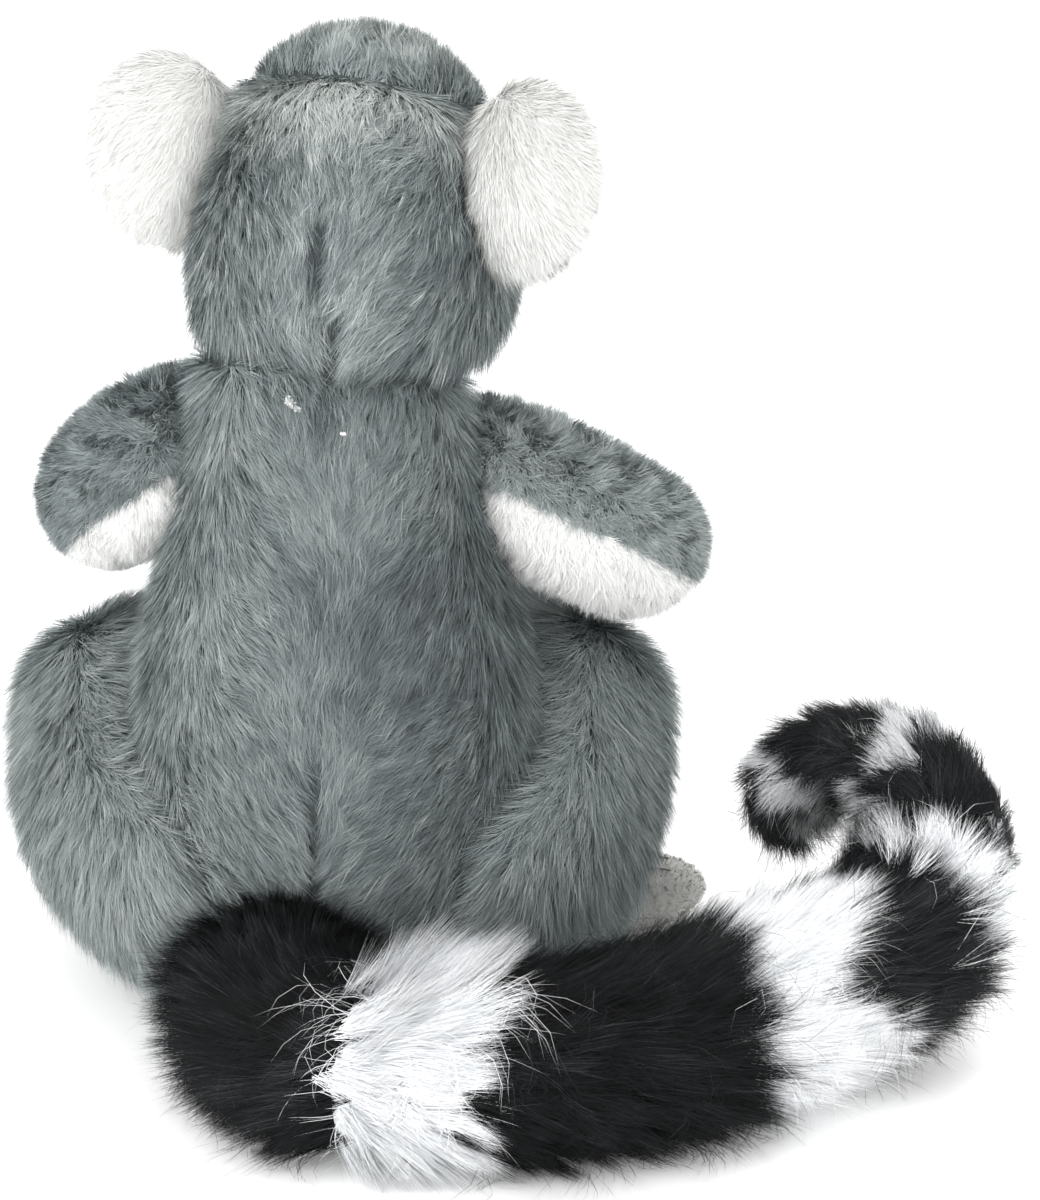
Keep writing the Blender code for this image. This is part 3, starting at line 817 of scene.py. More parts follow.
class LEMUR_OT_stage(bpy.types.Operator):
    """Sets up the floor, the lights and the camera"""
    bl_idname = "lemur.stage"
    bl_label = "Stage"

    def execute(self, context):
        settings = context.scene.lemur_stage
        half = settings.floor_size / 2
        corners = [(-half, -half, 0), (half, -half, 0), (half, half, 0), (-half, half, 0)]
        floor = mesh_object("floor", corners, [(0, 1, 2, 3)])
        floor.data.materials.append(floor_material())
        white_world(settings.sky)
        middle = (0.0, 0.0, 0.12)
        area_light("key_light", (0.95, 1.0, 1.25), middle, 0.9, settings.key)
        area_light("low_light", (0.35, 1.5, 0.40), middle, 0.8, settings.key * 0.35)
        area_light("side_light", (-1.3, 1.0, 0.70), middle, 1.0, settings.key * 0.30)
        area_light("front_light", (-0.5, -1.3, 1.2), middle, 1.0, settings.key * 0.75)

        target = Vector(settings.target)
        out = Vector((0.0, math.cos(settings.elevation), math.sin(settings.elevation)))
        data = bpy.data.cameras.new("camera")
        data.sensor_fit = "HORIZONTAL"
        data.sensor_width = 36.0
        data.lens = data.sensor_width * settings.distance / settings.frame_width
        data.clip_start = 0.01
        camera = add_object("camera", data)
        camera.location = target + out * settings.distance
        camera.rotation_euler = (-out).to_track_quat("-Z", "Y").to_euler()
        context.scene.camera = camera
        context.scene.view_settings.view_transform = "Standard"
        return {"FINISHED"}


# Body

class LEMUR_OT_torso(bpy.types.Operator):
    """Grows the grey pile of the body and the white pile of the belly"""
    bl_idname = "lemur.torso"
    bl_label = "Body"

    def execute(self, context):
        pile = context.scene.lemur_body
        rng = np.random.default_rng(11)

        def depth(points, normals):
            near_neck = ramp(points[:, 2], 0.176, 0.190) * np.clip(normals[:, 2], 0, 1)
            seam = np.exp(-(from_seam(points) / 0.004) ** 2) * np.clip(normals[:, 1], 0, 1)
            low = ramp(points[:, 2], 0.092, 0.080)
            return pile.height * (1 - near_neck) + 0.0026 * seam * low

        skin = skin_of(("torso", "belly_panel"), depth, 0.0040, 8)
        belly = reach_of(skin.outer, "belly_panel") - reach_of(skin.outer, "torso")
        skin_piece("torso_skin", skin, "grey_plush", body_backing(), 0.8, "torso", "belly_panel",
                   pale=ramp(belly, 0.0005, -0.0005))
        room = crowding(skin, (
            "leg_left", "leg_right", "arm_left", "arm_right", "arm_lining_left",
            "arm_lining_right", "head_back", "face_mask", "tail_black_1",
        ))
        thick = beside_others(room) * off_floor(skin) * turned_away(skin)
        density = thinned(pile.density)
        spots = scatter(skin, density, rng, thick=thick, belly=belly)

        # The grey pile runs down and in to the seam, most of all low on the back
        back = chosen(spots, spots.values["belly"] > 0)
        x, _, z = back.outer.T
        inward = 1.6 + 2.4 * ramp(z, 0.100, 0.045) - 0.9 * ramp(z, 0.165, 0.190)
        heading = towards_middle(back.outer, inward)
        bend = 0.22 * wave(back.outer, 0.035, 3) + 0.16 * wave(back.outer, 0.011, 4)
        heading = swirled(heading, back.normals, bend)
        kind = Pile(pile.length, 0, pile.lift, pile.lift, 0.15, 0.17, 0.0011, 0.5, 0.0, 1)
        shown = reached(back, heading, pile.length)
        parting_and_shade = np.maximum(groove(shown, 0.03, 0.096), 0.6 * groove(shown, 0.176, 0.194))
        parting_and_shade = np.maximum(parting_and_shade, creased(shown))
        grown = grow(back, density, kind, heading, rng, 1 - 0.45 * parting_and_shade)
        # It is darker in the middle of the back, painted lighter on the left and darker low on the right
        # as painted light and shade of the side lighting, and painted darker in the seam and creases as
        # painted shade
        middle = ramp(z, 0.090, 0.110) * ramp(z, 0.160, 0.140) * ramp(x, 0.02, -0.01)
        level = 0.48 + 0.06 * wave(back.outer, 0.03, 5) + 0.09 * ramp(x, 0.01, 0.04)
        level -= 0.24 * middle + 0.19 * ramp(x, -0.01, -0.04) * ramp(z, 0.10, 0.06)
        level -= 0.42 * parting_and_shade
        tones = tone_of(level, grown[2], rng)
        pile_pieces("torso_pile", grown, back, tones, "grey_plush", body_greys(),
                    strand_width(pile.width), rng)

        # The belly's pile hangs straight down
        front = chosen(spots, spots.values["belly"] <= 0)
        heading = np.tile((0.0, 0.0, -1.0), (len(front.roots), 1))
        kind = kind._replace(length=0.008, lift=0.6, tip_lift=0.6, lock_stray=0.35)
        grown = grow(front, density, kind, heading, rng)
        tones = tone_of(np.full(len(front.roots), 0.5), grown[2], rng)
        pile_pieces("belly_pile", grown, front, tones, "white_plush", whites(),
                    strand_width(pile.width), rng)
        return {"FINISHED"}


# Head

def head_depth(height, face_height):
    """How far the head's skin lies under its outline: less in the face, none on the neck."""
    def depth(points, normals):
        face = np.minimum(reach_of(points, "face_mask"), reach_of(points, "muzzle"))
        crown = reach_of(points, "crown_panel")
        back = reach_of(points, "head_back")
        on_face = ramp(back - face, -0.002, 0.002) * ramp(crown - face, -0.002, 0.002)
        on_neck = ramp(distances(points, "torso"), 0.006, 0.001) * np.clip(-normals[:, 2], 0, 1)
        seam = np.exp(-((crown - back) / 0.0025) ** 2) * (1 - on_face)
        middle = np.exp(-(from_seam(points) / 0.0035) ** 2) * np.clip(normals[:, 1], 0, 1)
        middle *= ramp(points[:, 2], 0.246, 0.222) * ramp(crown, 0.004, 0.014)
        found = height + (face_height - height) * on_face
        return found * (1 - on_neck) + 0.0016 * seam + 0.0038 * middle
    return depth


class LEMUR_OT_head(bpy.types.Operator):
    """Grows the pile of the head: its grey back, its darker crown and its white face"""
    bl_idname = "lemur.head"
    bl_label = "Head"

    def execute(self, context):
        pile = context.scene.lemur_body
        short = context.scene.lemur_short
        rng = np.random.default_rng(21)
        nodes = ("head_back", "crown_panel", "face_mask")
        closing = ("eye_patch_left", "eye_patch_right", "muzzle")
        skin = skin_of(nodes + closing, head_depth(pile.height, short.height), 0.0032, 6)
        face = np.minimum(reach_of(skin.outer, "face_mask"), reach_of(skin.outer, "muzzle"))
        others = np.minimum(reach_of(skin.outer, "crown_panel"), reach_of(skin.outer, "head_back"))
        skin_piece("head_skin", skin, "grey_plush", body_backing(), 0.9, *nodes,
                   pale=ramp(face - others, 0.0005, -0.0005))
        room = crowding(skin, (
            "torso", "arm_left", "arm_right", "ear_left", "ear_right", "ear_lining_left",
            "ear_lining_right", "muzzle", "eye_patch_left", "eye_patch_right", "belly_panel",
        ))
        thick = beside_others(room, 0.0010) * turned_away(skin)
        density = thinned(pile.density, 1.15)
        spots = scatter(
            skin, density, rng, thick=thick,
            crown=reach_of(skin.outer, "crown_panel", 0.05),
            back=reach_of(skin.outer, "head_back"),
            face=face,
        )
        crown, back, face = (spots.values[name] for name in ("crown", "back", "face"))
        in_crown = (crown < back) & (crown < face)
        in_face = (face < back) & ~in_crown
        width = strand_width(pile.width)

        # The back of the head: the pile runs down to the seam and a little longer at the neck
        rear = chosen(spots, ~in_crown & ~in_face)
        under_seam = rear.values["crown"]
        x, _, z = rear.outer.T
        inward = 1.5 * ramp(under_seam, 0.004, 0.026) + 1.0 * ramp(z, 0.225, 0.203)
        heading = towards_middle(rear.outer, inward)
        heading[:, 1] = 1.2 * ramp(rear.normals[:, 2], 0.1, 0.6)
        bend = 0.18 * wave(rear.outer, 0.03, 7) + 0.14 * wave(rear.outer, 0.010, 8)
        heading = swirled(heading, rear.normals, bend)
        lift = pile.lift + 0.30 * ramp(under_seam, 0.010, 0.001)
        kind = Pile(pile.length * 0.9, 0, lift, lift, 0.15, 0.17, 0.0010, 0.5, 0.0, 1)
        parting_and_shade = groove(reached(rear, heading, pile.length), 0.19, 0.240)
        low_edge = ramp(z, 0.214, 0.203)
        grown = grow(rear, density, kind, heading, rng, (1 - 0.6 * parting_and_shade) * (1 + 0.35 * low_edge))
        # It is light in a band under the crown, painted darker on the right as painted shade of the side
        # lighting, and painted darker in the seams as painted shade
        level = 0.42 + 0.05 * wave(rear.outer, 0.028, 9)
        level += 0.44 * ramp(under_seam, 0.0015, 0.003) * ramp(under_seam, 0.030, 0.008)
        level -= 0.42 * parting_and_shade + 0.10 * ramp(x, -0.010, -0.035)
        level -= 0.25 * ramp(under_seam, 0.0016, 0.0006)
        tones = tone_of(level, grown[2], rng)
        pile_pieces("head_pile", grown, rear, tones, "grey_plush", all_greys(), width, rng)

        # The crown's pile stands up and is lightest at the top
        cap = chosen(spots, in_crown)
        heading = np.stack([
            0.3 * wave(cap.outer, 0.012, 31), 0.3 * wave(cap.outer, 0.012, 32) + 0.2,
            np.ones(len(cap.roots)),
        ], axis=1)
        kind = Pile(0.0054, 0, 0.75, 0.75, 0.35, 0.30, 0.0008, 0.5, 0.0, 1)
        grown = grow(cap, density, kind, heading, rng)
        level = 0.47 + 0.28 * ramp(cap.values["back"], 0.001, 0.016)
        tones = tone_of(level, grown[2], rng, 0.07, 0.12)
        pile_pieces("crown_pile", grown, cap, tones, "crown_plush", all_greys(), width, rng)

        # The face's pile runs away from the nose
        front = chosen(spots, in_face)
        heading = front.outer - middle_of("nose")
        kind = Pile(0.0056, 0, 0.60, 0.60, 0.25, 0.25, 0.0010, 0.45, 0.0, 1)
        grown = grow(front, density, kind, heading, rng)
        tones = tone_of(np.full(len(front.roots), 0.5), grown[2], rng)
        pile_pieces("face_pile", grown, front, tones, "white_plush", whites(), width, rng)
        return {"FINISHED"}


def fuzz(name, skin, slot, colours, density, length, rng, room=None):
    """A very short standing nap over a skin."""
    thick = np.ones(len(skin.points)) if room is None else ramp(room, -0.0005, 0.0008)
    density = thinned(density)
    spots = scatter(skin, density, rng, thick=thick)
    heading = rng.normal(size=(len(spots.roots), 3))
    kind = Pile(length, 0, 1.05, 0.9, 0.5, 0.3, 0.0010, 0.3, 0.0, 1)
    grown = grow(spots, density, kind, heading, rng)
    tones = tone_of(np.full(len(spots.roots), 0.5), grown[2], rng)
    pile_pieces(name, grown, spots, tones, slot, colours, strand_width(0.00030), rng, 0.95)


def thread(name, points, radius, slot, colour):
    """A line of stitching laid along the points."""
    curve = bpy.data.curves.new(name, "CURVE")
    curve.dimensions = "3D"
    curve.bevel_depth = radius
    curve.bevel_resolution = 2
    curve.use_fill_caps = True
    line = curve.splines.new("POLY")
    line.points.add(len(points) - 1)
    for place, point in zip(line.points, points):
        place.co = (*point, 1.0)
    made = add_object(name, curve)
    dress(made, slot, made_once("thread_" + slot, thread_material, colour))


def surface_tree(skin):
    return BVHTree.FromPolygons(skin.points.tolist(), skin.triangles.tolist())


def stitched(tree, starts, inward, proud):
    """Points just proud of a surface, found from each start along its way inward."""
    found = []
    for start, way in zip(starts, inward):
        place, normal, _, _ = tree.ray_cast(start - way * STITCH_RUN, way, 2 * STITCH_RUN)
        if place is not None:
            found.append(place + normal * proud)
    return found


class LEMUR_OT_face(bpy.types.Operator):
    """Makes the muzzle, the nose, the eyes and their dark rings"""
    bl_idname = "lemur.face"
    bl_label = "Face"

    def execute(self, context):
        rng = np.random.default_rng(31)
        snout = skin_of(("muzzle",), 0.0008, 0.0020, 4)
        skin_piece("muzzle_skin", snout, "velour", velour(), 0.8, "muzzle")
        room = crowding(snout, ("face_mask", "nose", "eye_patch_left", "eye_patch_right"))
        fuzz("muzzle_nap", snout, "velour", fibres("velour_fibre"), 380, 0.0018, rng, room)
        for side in ("left", "right"):
            patch = "eye_patch_" + side
            ring = skin_of((patch,), 0.0014, 0.0010, 4)
            skin_piece(patch + "_skin", ring, "black_plush", black_backing(), 0.6, patch)
            room = crowding(ring, ("eye_" + side, "muzzle"))
            tones = fibres("black_fibre")
            fuzz(patch + "_nap", ring, "black_plush", tones, 500, 0.0034, rng, room)
            eye_piece(side)
        nose_piece()
        mouth_lines(snout)
        return {"FINISHED"}


def eye_piece(side):
    """A domed plastic eye: amber with a dark pupil under a clear gloss."""
    node = "eye_" + side
    low, high = (Vector(corner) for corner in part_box(node))
    middle = (low + high) / 2
    radius = (high.z - low.z) / 2
    ball = bmesh.new()
    bmesh.ops.create_icosphere(ball, subdivisions=4, radius=radius)
    mesh = bpy.data.meshes.new(node + "_dome")
    ball.to_mesh(mesh)
    ball.free()
    mesh.shade_smooth()
    mesh.transform(Matrix.Translation(middle))
    made = add_object(node + "_dome", mesh)
    name = "eye_amber_" + side
    material, tree, shader = new_material(name, (0.45, 0.17, 0.015), 0.08, 0.5)
    shader.inputs["Coat Weight"].default_value = 1.0
    shader.inputs["Coat Roughness"].default_value = 0.03
    sign = 1 if side == "left" else -1
    out = Matrix.Rotation(HEAD_TURN + sign * EYE_TURN, 3, "Z") @ Vector((0.0, -1.0, 0.0))
    where = tree.nodes.new("ShaderNodeTexCoord")
    from_middle = tree.nodes.new("ShaderNodeVectorMath")
    from_middle.operation = "SUBTRACT"
    from_middle.inputs[1].default_value = middle
    ahead = tree.nodes.new("ShaderNodeVectorMath")
    ahead.operation = "DOT_PRODUCT"
    ahead.inputs[1].default_value = out / radius
    tree.links.new(where.outputs["Object"], from_middle.inputs[0])
    tree.links.new(from_middle.outputs["Vector"], ahead.inputs[0])
    colours = tree.nodes.new("ShaderNodeValToRGB")
    edges = colours.color_ramp.elements
    edges[0].position = 0.30
    edges[0].color = (0.010, 0.006, 0.004, 1.0)
    edges[1].position = 0.42
    edges[1].color = (0.42, 0.15, 0.012, 1.0)
    for place, colour in ((0.80, (0.60, 0.27, 0.03, 1.0)), (0.84, (0.004, 0.004, 0.004, 1.0))):
        edges.new(place).color = colour
    tree.links.new(ahead.outputs["Value"], colours.inputs["Fac"])
    tree.links.new(colours.outputs["Color"], shader.inputs["Base Color"])
    dress(made, "eye_plastic", material)
    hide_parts(node)


def nose_piece():
    """A glossy moulded nose with two nostril dents."""
    low, high = corners_of("nose")
    middle = (low + high) / 2
    half = (high - low) / 2
    ball = bmesh.new()
    bmesh.ops.create_icosphere(ball, subdivisions=4, radius=1.0)
    turn = Matrix.Rotation(HEAD_TURN, 3, "Z")
    for vertex in ball.verts:
        x, y, z = vertex.co
        narrow = 1.0 - 0.22 * max(0.0, -z)
        dent = 0.20 * math.exp(-((abs(x) - 0.42) / 0.16) ** 2 - ((z + 0.25) / 0.20) ** 2)
        if y < 0:
            y = y * (1.0 - dent)
        local = turn @ Vector((x * narrow * half[2] * 1.3, y * half[2], z * half[2]))
        vertex.co = local + Vector(middle)
    mesh = bpy.data.meshes.new("nose_bead")
    ball.to_mesh(mesh)
    ball.free()
    mesh.shade_smooth()
    made = add_object("nose_bead", mesh)
    material, tree, shader = new_material("nose_gloss", (0.010, 0.009, 0.009), 0.25, 0.5)
    nap_bump(tree, shader, 1400.0, 0.0002)
    dress(made, "nose_plastic", material)
    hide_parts("nose")


def mouth_lines(snout):
    """Two short stitched curves under the nose."""
    tree = surface_tree(snout)
    low, high = (Vector(corner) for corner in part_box("nose"))
    under = Vector(((low.x + high.x) / 2, (low.y + high.y) / 2, low.z))
    turn = Matrix.Rotation(HEAD_TURN, 3, "Z")
    inward = turn @ Vector((0.0, 1.0, 0.0))
    sideways = turn @ Vector((1.0, 0.0, 0.0))
    for side, sign in (("left", 1), ("right", -1)):
        starts = []
        for share in np.linspace(0, 1, 9):
            drop = 0.0035 + 0.0030 * math.sin(share * math.pi * 0.8)
            starts.append(under + sideways * sign * share * 0.0075 - Vector((0.0, 0.0, drop)))
        points = stitched(tree, starts, [inward] * len(starts), 0.0011)
        thread("mouth_line_" + side, points, 0.00035, "black_plush", STITCH)


# Bits caught in the pile

# Where white lint sits on the back: x and z of its ends, and how thick it is
LINT = (
    ((0.0094, 0.1880), (0.0084, 0.1862), 0.0006),
    ((0.0084, 0.1862), (0.0062, 0.1852), 0.0005),
    ((-0.0042, 0.1792), (-0.0056, 0.1788), 0.0003),
)
# Strands in the lint for each metre of its thickness
LINT_STRANDS = 200 / 0.0009
# The stray fibre: where it lies, how far it runs across and down, and how far it bends
STRAY_PLACE = (0.0350, 0.0345)
STRAY_RUN = (0.0034, 0.0030)
STRAY_BEND = 0.0006


def on_back(x, z, proud, *nodes):
    """The place on the outside of these nodes seen from behind at this x and z, and its normal."""
    found = None
    for node in nodes:
        place, normal, _, _ = tree_of(node).ray_cast(Vector((x, 0.3, z)), Vector((0.0, -1.0, 0.0)))
        if place is not None and (found is None or place.y > found[0].y):
            found = (place + normal * proud, normal)
    return found


class LEMUR_OT_lint(bpy.types.Operator):
    """Adds the white lint and the stray black fibre that are caught in the pile of the back"""
    bl_idname = "lemur.lint"
    bl_label = "Lint"

    def execute(self, context):
        rng = np.random.default_rng(61)
        for number, (start, end, size) in enumerate(LINT, 1):
            first, normal = on_back(*start, 0.0004, "torso")
            last, _ = on_back(*end, 0.0004, "torso")
            count = int(LINT_STRANDS * size)
            share = rng.random((count, 1))
            roots = np.array(first) * (1 - share) + np.array(last) * share
            roots += rng.normal(0, size * 0.5, (count, 3))
            normals = np.tile(normal, (count, 1))
            spots = Spots(roots, roots, normals, {})
            kind = Pile(size * 1.8, 0, 0.3, -0.3, 1.5, 0.8, size, 0.2, 0.0, 3, 2.2)
            grown = grow(spots, count / size ** 2, kind, rng.normal(size=(count, 3)), rng)
            tones = rng.uniform(0.3, 0.99, count)
            pile_pieces("lint_%d" % number, grown, spots, tones, "white_plush", whites(), 0.0003, rng)
        place, normal = on_back(*STRAY_PLACE, 0.0008, "torso", "leg_left")
        across = Vector((1.0, 0.0, 0.0))
        up = normal.cross(across).normalized()
        points = []
        for share in np.linspace(0, 1, 9):
            run = across * STRAY_RUN[0] - up * STRAY_RUN[1]
            points.append(place + run * (share - 0.5) + up * STRAY_BEND * math.sin(share * 5))
        thread("stray_fibre", points, 0.00011, "black_plush", STITCH)
        return {"FINISHED"}


# Ears, arms and legs

class LEMUR_OT_ears(bpy.types.Operator):
    """Grows the soft white pile of the ears and their grey inner faces"""
    bl_idname = "lemur.ears"
    bl_label = "Ears"

    def execute(self, context):
        short = context.scene.lemur_short
        rng = np.random.default_rng(41)
        head_middle = middle_of("head_back")
        for side in ("left", "right"):
            ear, lining = "ear_" + side, "ear_lining_" + side
            head = ("head_back", "crown_panel", "face_mask")
            middle = middle_of(ear)
            outward = unit((middle - head_middle) * (1.0, 0.0, 0.0))

            skin = skin_of((ear, lining), 0.0024, 0.0022, 5, head, 0.0050)
            skin_piece(ear + "_skin", skin, "white_plush", white_backing(), 0.5, ear, lining)
            room = crowding(skin, head)
            thick = beside_others(room, least=0.05) * turned_away(skin)
            density = thinned(short.density, 1.35)
            spots = scatter(
                skin, density, rng, thick=thick,
                outside=reach_of(skin.outer, ear), inside=reach_of(skin.outer, lining),
            )
            lined = spots.values["outside"] > spots.values["inside"] + 0.0028
            for name, part, slot, tones in (
                ("_pile", ~lined, "white_plush", fibres("ear_fibre")),
                ("_lining_pile", lined, "ear_lining_plush", body_greys()[1:]),
            ):
                some = chosen(spots, part)
                heading = outward + 0.25 * unit(some.outer - middle) + np.array((0.0, 0.0, -1.2))
                heading = swirled(heading, some.normals, 0.15 * wave(some.outer, 0.012, 45))
                length = 0.0066 if slot == "white_plush" else 0.0042
                kind = Pile(length, 0, 0.34, 0.34, 0.20, 0.15, 0.0012, 0.4, 0.0, 1)
                grown = grow(some, density, kind, heading, rng)
                shade = tone_of(np.full(len(some.roots), 0.55), grown[2], rng)
                pile_pieces(ear + name, grown, some, shade, slot, tones,
                            strand_width(short.width), rng, 0.92)
        return {"FINISHED"}


class LEMUR_OT_arms(bpy.types.Operator):
    """Grows the short pile of the arms, grey above and white below"""
    bl_idname = "lemur.arms"
    bl_label = "Arms"

    def execute(self, context):
        short = context.scene.lemur_short
        rng = np.random.default_rng(51)
        for side in ("left", "right"):
            arm, lining, hand = "arm_" + side, "arm_lining_" + side, "hand_" + side
            body = ("torso", "belly_panel", "head_back", "face_mask")

            def depth(points, normals):
                return short.height * (0.15 + 0.85 * ramp(reach_of(points, hand), 0.0005, 0.004))

            skin = skin_of((arm, lining), depth, 0.0030, 5, body, 0.0045)
            below = reach_of(skin.outer, lining) - reach_of(skin.outer, arm)
            skin_piece(arm + "_skin", skin, "arm_plush", body_backing(), 0.8, arm, lining,
                       pale=ramp(below, 0.0005, -0.0005))
            room = crowding(skin, (
                "torso", "head_back", "face_mask", "belly_panel", "leg_" + side, hand))
            thick = beside_others(room, least=0.05) * turned_away(skin)
            density = thinned(short.density)
            spots = scatter(
                skin, density, rng, thick=thick,
                above=reach_of(skin.outer, arm), below=reach_of(skin.outer, lining),
            )
            for name, part, slot, tones, level in (
                ("_pile", spots.values["above"] <= spots.values["below"], "arm_plush", body_greys(),
                 0.41 if side == "left" else 0.67),
                ("_lining_pile", spots.values["above"] > spots.values["below"], "white_plush",
                 whites(), 0.5),
            ):
                some = chosen(spots, part)
                heading = np.stack([
                    0.5 * wave(some.outer, 0.014, 61), 0.5 * wave(some.outer, 0.014, 62),
                    0.5 * wave(some.outer, 0.014, 63) - 0.8,
                ], axis=1)
                lift = 0.85 if slot == "arm_plush" else 0.5
                kind = Pile(short.length, 0, lift, lift, 0.45, 0.45, 0.0008, 0.5, 0.0, 1)
                grown = grow(some, density, kind, heading, rng)
                patches = level + 0.04 * wave(some.outer, 0.010, 64)
                shade = tone_of(patches, grown[2], rng)
                pile_pieces(arm + name, grown, some, shade, slot, tones,
                            strand_width(short.width), rng)
        return {"FINISHED"}


class LEMUR_OT_legs(bpy.types.Operator):
    """Grows the grey pile of the folded legs"""
    bl_idname = "lemur.legs"
    bl_label = "Legs"

    def execute(self, context):
        pile = context.scene.lemur_body
        for side, sign in (("left", 1), ("right", -1)):
            rng = np.random.default_rng(71 + sign)
            leg, foot = "leg_" + side, "foot_" + side

            def depth(points, normals):
                return pile.height * (0.2 + 0.8 * ramp(reach_of(points, foot), 0.0005, 0.005))

            skin = skin_of((leg,), depth, 0.0038, 6, ("torso", "belly_panel"), 0.0050)
            skin_piece(leg + "_skin", skin, "grey_plush", grey_backing(), 0.8, leg)
            room = crowding(skin, (
                "torso", "belly_panel", foot, "arm_" + side, "arm_lining_" + side, "hand_" + side))
            thick = beside_others(room) * off_floor(skin) * turned_away(skin)
            density = thinned(pile.density, 0.85)
            to_body = reach_of(skin.outer, "torso")
            spots = scatter(skin, density, rng, thick=thick, to_body=to_body)
            x, y, z = spots.outer.T
            beside = ramp(spots.values["to_body"], 0.034, 0.001)
            closing = 1.3 * beside - 0.05
            heading = np.stack([-closing * sign, 0.25 * np.ones(len(x)), -np.ones(len(x))], axis=1)
            bend = 0.20 * wave(spots.outer, 0.035, 81) + 0.14 * wave(spots.outer, 0.011, 82)
            heading = swirled(heading, spots.normals, bend)
            # The right leg's pile hangs out over its foot
            over_foot = ramp(z, 0.050, 0.028) * ramp(x, -0.045, -0.060) * ramp(y, -0.01, 0.0)
            heading[:, 0] -= 1.5 * over_foot
            lift = pile.lift + 0.15 * over_foot
            kind = Pile(pile.length, 0, lift, lift, 0.15, 0.17, 0.0011, 0.5, 0.0, 1)
            grown = grow(spots, density, kind, heading, rng, 1 + 0.6 * over_foot + 0.25 * beside)
            # The right leg's pile is painted darker than the left's: painted shade of the side lighting
            base = 0.63 if side == "left" else 0.54
            level = base + 0.05 * wave(spots.outer, 0.03, 83)
            tones = tone_of(level, grown[2], rng)
            pile_pieces(leg + "_pile", grown, spots, tones, "grey_plush", body_greys(),
                        strand_width(pile.width), rng)
        return {"FINISHED"}


class LEMUR_OT_hands_and_feet(bpy.types.Operator):
    """Makes the velour hands and feet with their stitched fingers and toes"""
    bl_idname = "lemur.hands_and_feet"
    bl_label = "Hands and feet"

    def execute(self, context):
        rng = np.random.default_rng(91)
        for node, neighbours, ahead in (
            ("hand_left", ("arm_left", "arm_lining_left"), (0.15, -0.90, -0.42)),
            ("hand_right", ("arm_right", "arm_lining_right"), (0.04, -0.96, -0.27)),
            ("foot_left", ("leg_left",), (0.643, -0.766, 0.0)),
            ("foot_right", ("leg_right",), (-0.978, -0.208, 0.0)),
        ):
            skin = skin_of((node,), 0.0007, 0.0019, 4)
            skin_piece(node + "_skin", skin, "velour", velour(), 0.7, node)
            room = crowding(skin, neighbours)
            tones = fibres("velour_fibre")
            fuzz(node + "_nap", skin, "velour", tones, 300, 0.0011, rng, room)
            toe_lines(node, skin, Vector(ahead))
        return {"FINISHED"}


def toe_lines(node, skin, ahead):
    """Three lines of stitching over the end of a foot or hand, between the toes or fingers."""
    tree = surface_tree(skin)
    low, high = (Vector(corner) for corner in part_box(node))
    middle = (low + high) / 2
    across = ahead.cross(Vector((0.0, 0.0, 1.0))).normalized()
    down = ahead.cross(across).normalized()
    if down.z > 0:
        down = -down
    turns = [math.radians(35 + 75 * share) for share in np.linspace(0, 1, 13)]
    inward = [(down * math.sin(turn) - ahead * math.cos(turn)).normalized() for turn in turns]
    for number in (-1, 0, 1):
        start = middle + ahead * 0.006 + across * number * 0.0068
        points = stitched(tree, [start] * len(inward), inward, 0.0008)
        thread("%s_line_%d" % (node, number + 2), points, 0.00032, "velour", TOE_STITCH)


# Tail

# The middle line of the tail with its radius, as the solids have it
TAIL_ROUTE = (
    (0.0060, 0.028, 0.0340, 0.0240),
    (0.0115, 0.047, 0.0290, 0.0265),
    (0.0125, 0.064, 0.0265, 0.0275),
    (0.0074, 0.083, 0.0265, 0.0275),
    (-0.0065, 0.097, 0.0265, 0.0278),
    (-0.0255, 0.102, 0.0265, 0.0278),
    (-0.0550, 0.100, 0.0268, 0.0280),
    (-0.0900, 0.0875, 0.0275, 0.0283),
    (-0.1260, 0.0620, 0.0285, 0.0285),
    (-0.1560, 0.0420, 0.0340, 0.0265),
    (-0.1710, 0.0300, 0.0490, 0.0220),
    (-0.1700, 0.0180, 0.0660, 0.0180),
    (-0.1540, 0.0070, 0.0750, 0.0150),
    (-0.1375, -0.0005, 0.0730, 0.0130),
    (-0.1260, -0.0035, 0.0610, 0.0115),
    (-0.1285, -0.0030, 0.0470, 0.0100),
)
# Sides of the tail
FROM_BEHIND = (0.0, 0.94, 0.34)
OUTSIDE_OF_CURL = (0.8, 0.0, 0.6)
# Each ring: its colour, its length, how its pile leans along the tail where it starts and ends,
# the side on which its end is drawn back, how far, and how often it runs in and out all round
TAIL_BANDS = (
    ("black", 0.086, 1.3, -1.8, FROM_BEHIND, 0.0, 0),
    ("white", 0.038, 1.0, 2.3, FROM_BEHIND, 0.0, 0),
    ("black", 0.074, 2.1, 1.6, FROM_BEHIND, 0.004, 1),
    ("white", 0.032, 1.7, 2.4, FROM_BEHIND, 0.014, 3.2),
    ("black", 0.042, 2.4, 2.0, FROM_BEHIND, -0.003, 0),
    ("white", 0.022, 2.0, 2.0, FROM_BEHIND, 0.002, 0),
    ("black", 0.023, 2.0, 2.0, FROM_BEHIND, -0.005, 0),
    ("white", 0.010, 2.0, 2.0, FROM_BEHIND, 0.0, 0),
    ("black", 0.021, 2.0, 2.0, OUTSIDE_OF_CURL, -0.010, 1),
    ("white", 0.013, 2.0, 2.0, FROM_BEHIND, 0.0, 0),
    ("black", 0.016, 2.0, 2.0, FROM_BEHIND, 0.0, 0),
)
# How far the edge between two rings runs in and out
RAGGED_EDGE = 0.0032
# The pile and the long strands of the tail nowhere stand more upright than this
LEAST_LEAN = 0.45
LEAST_LONG_LEAN = 1.6
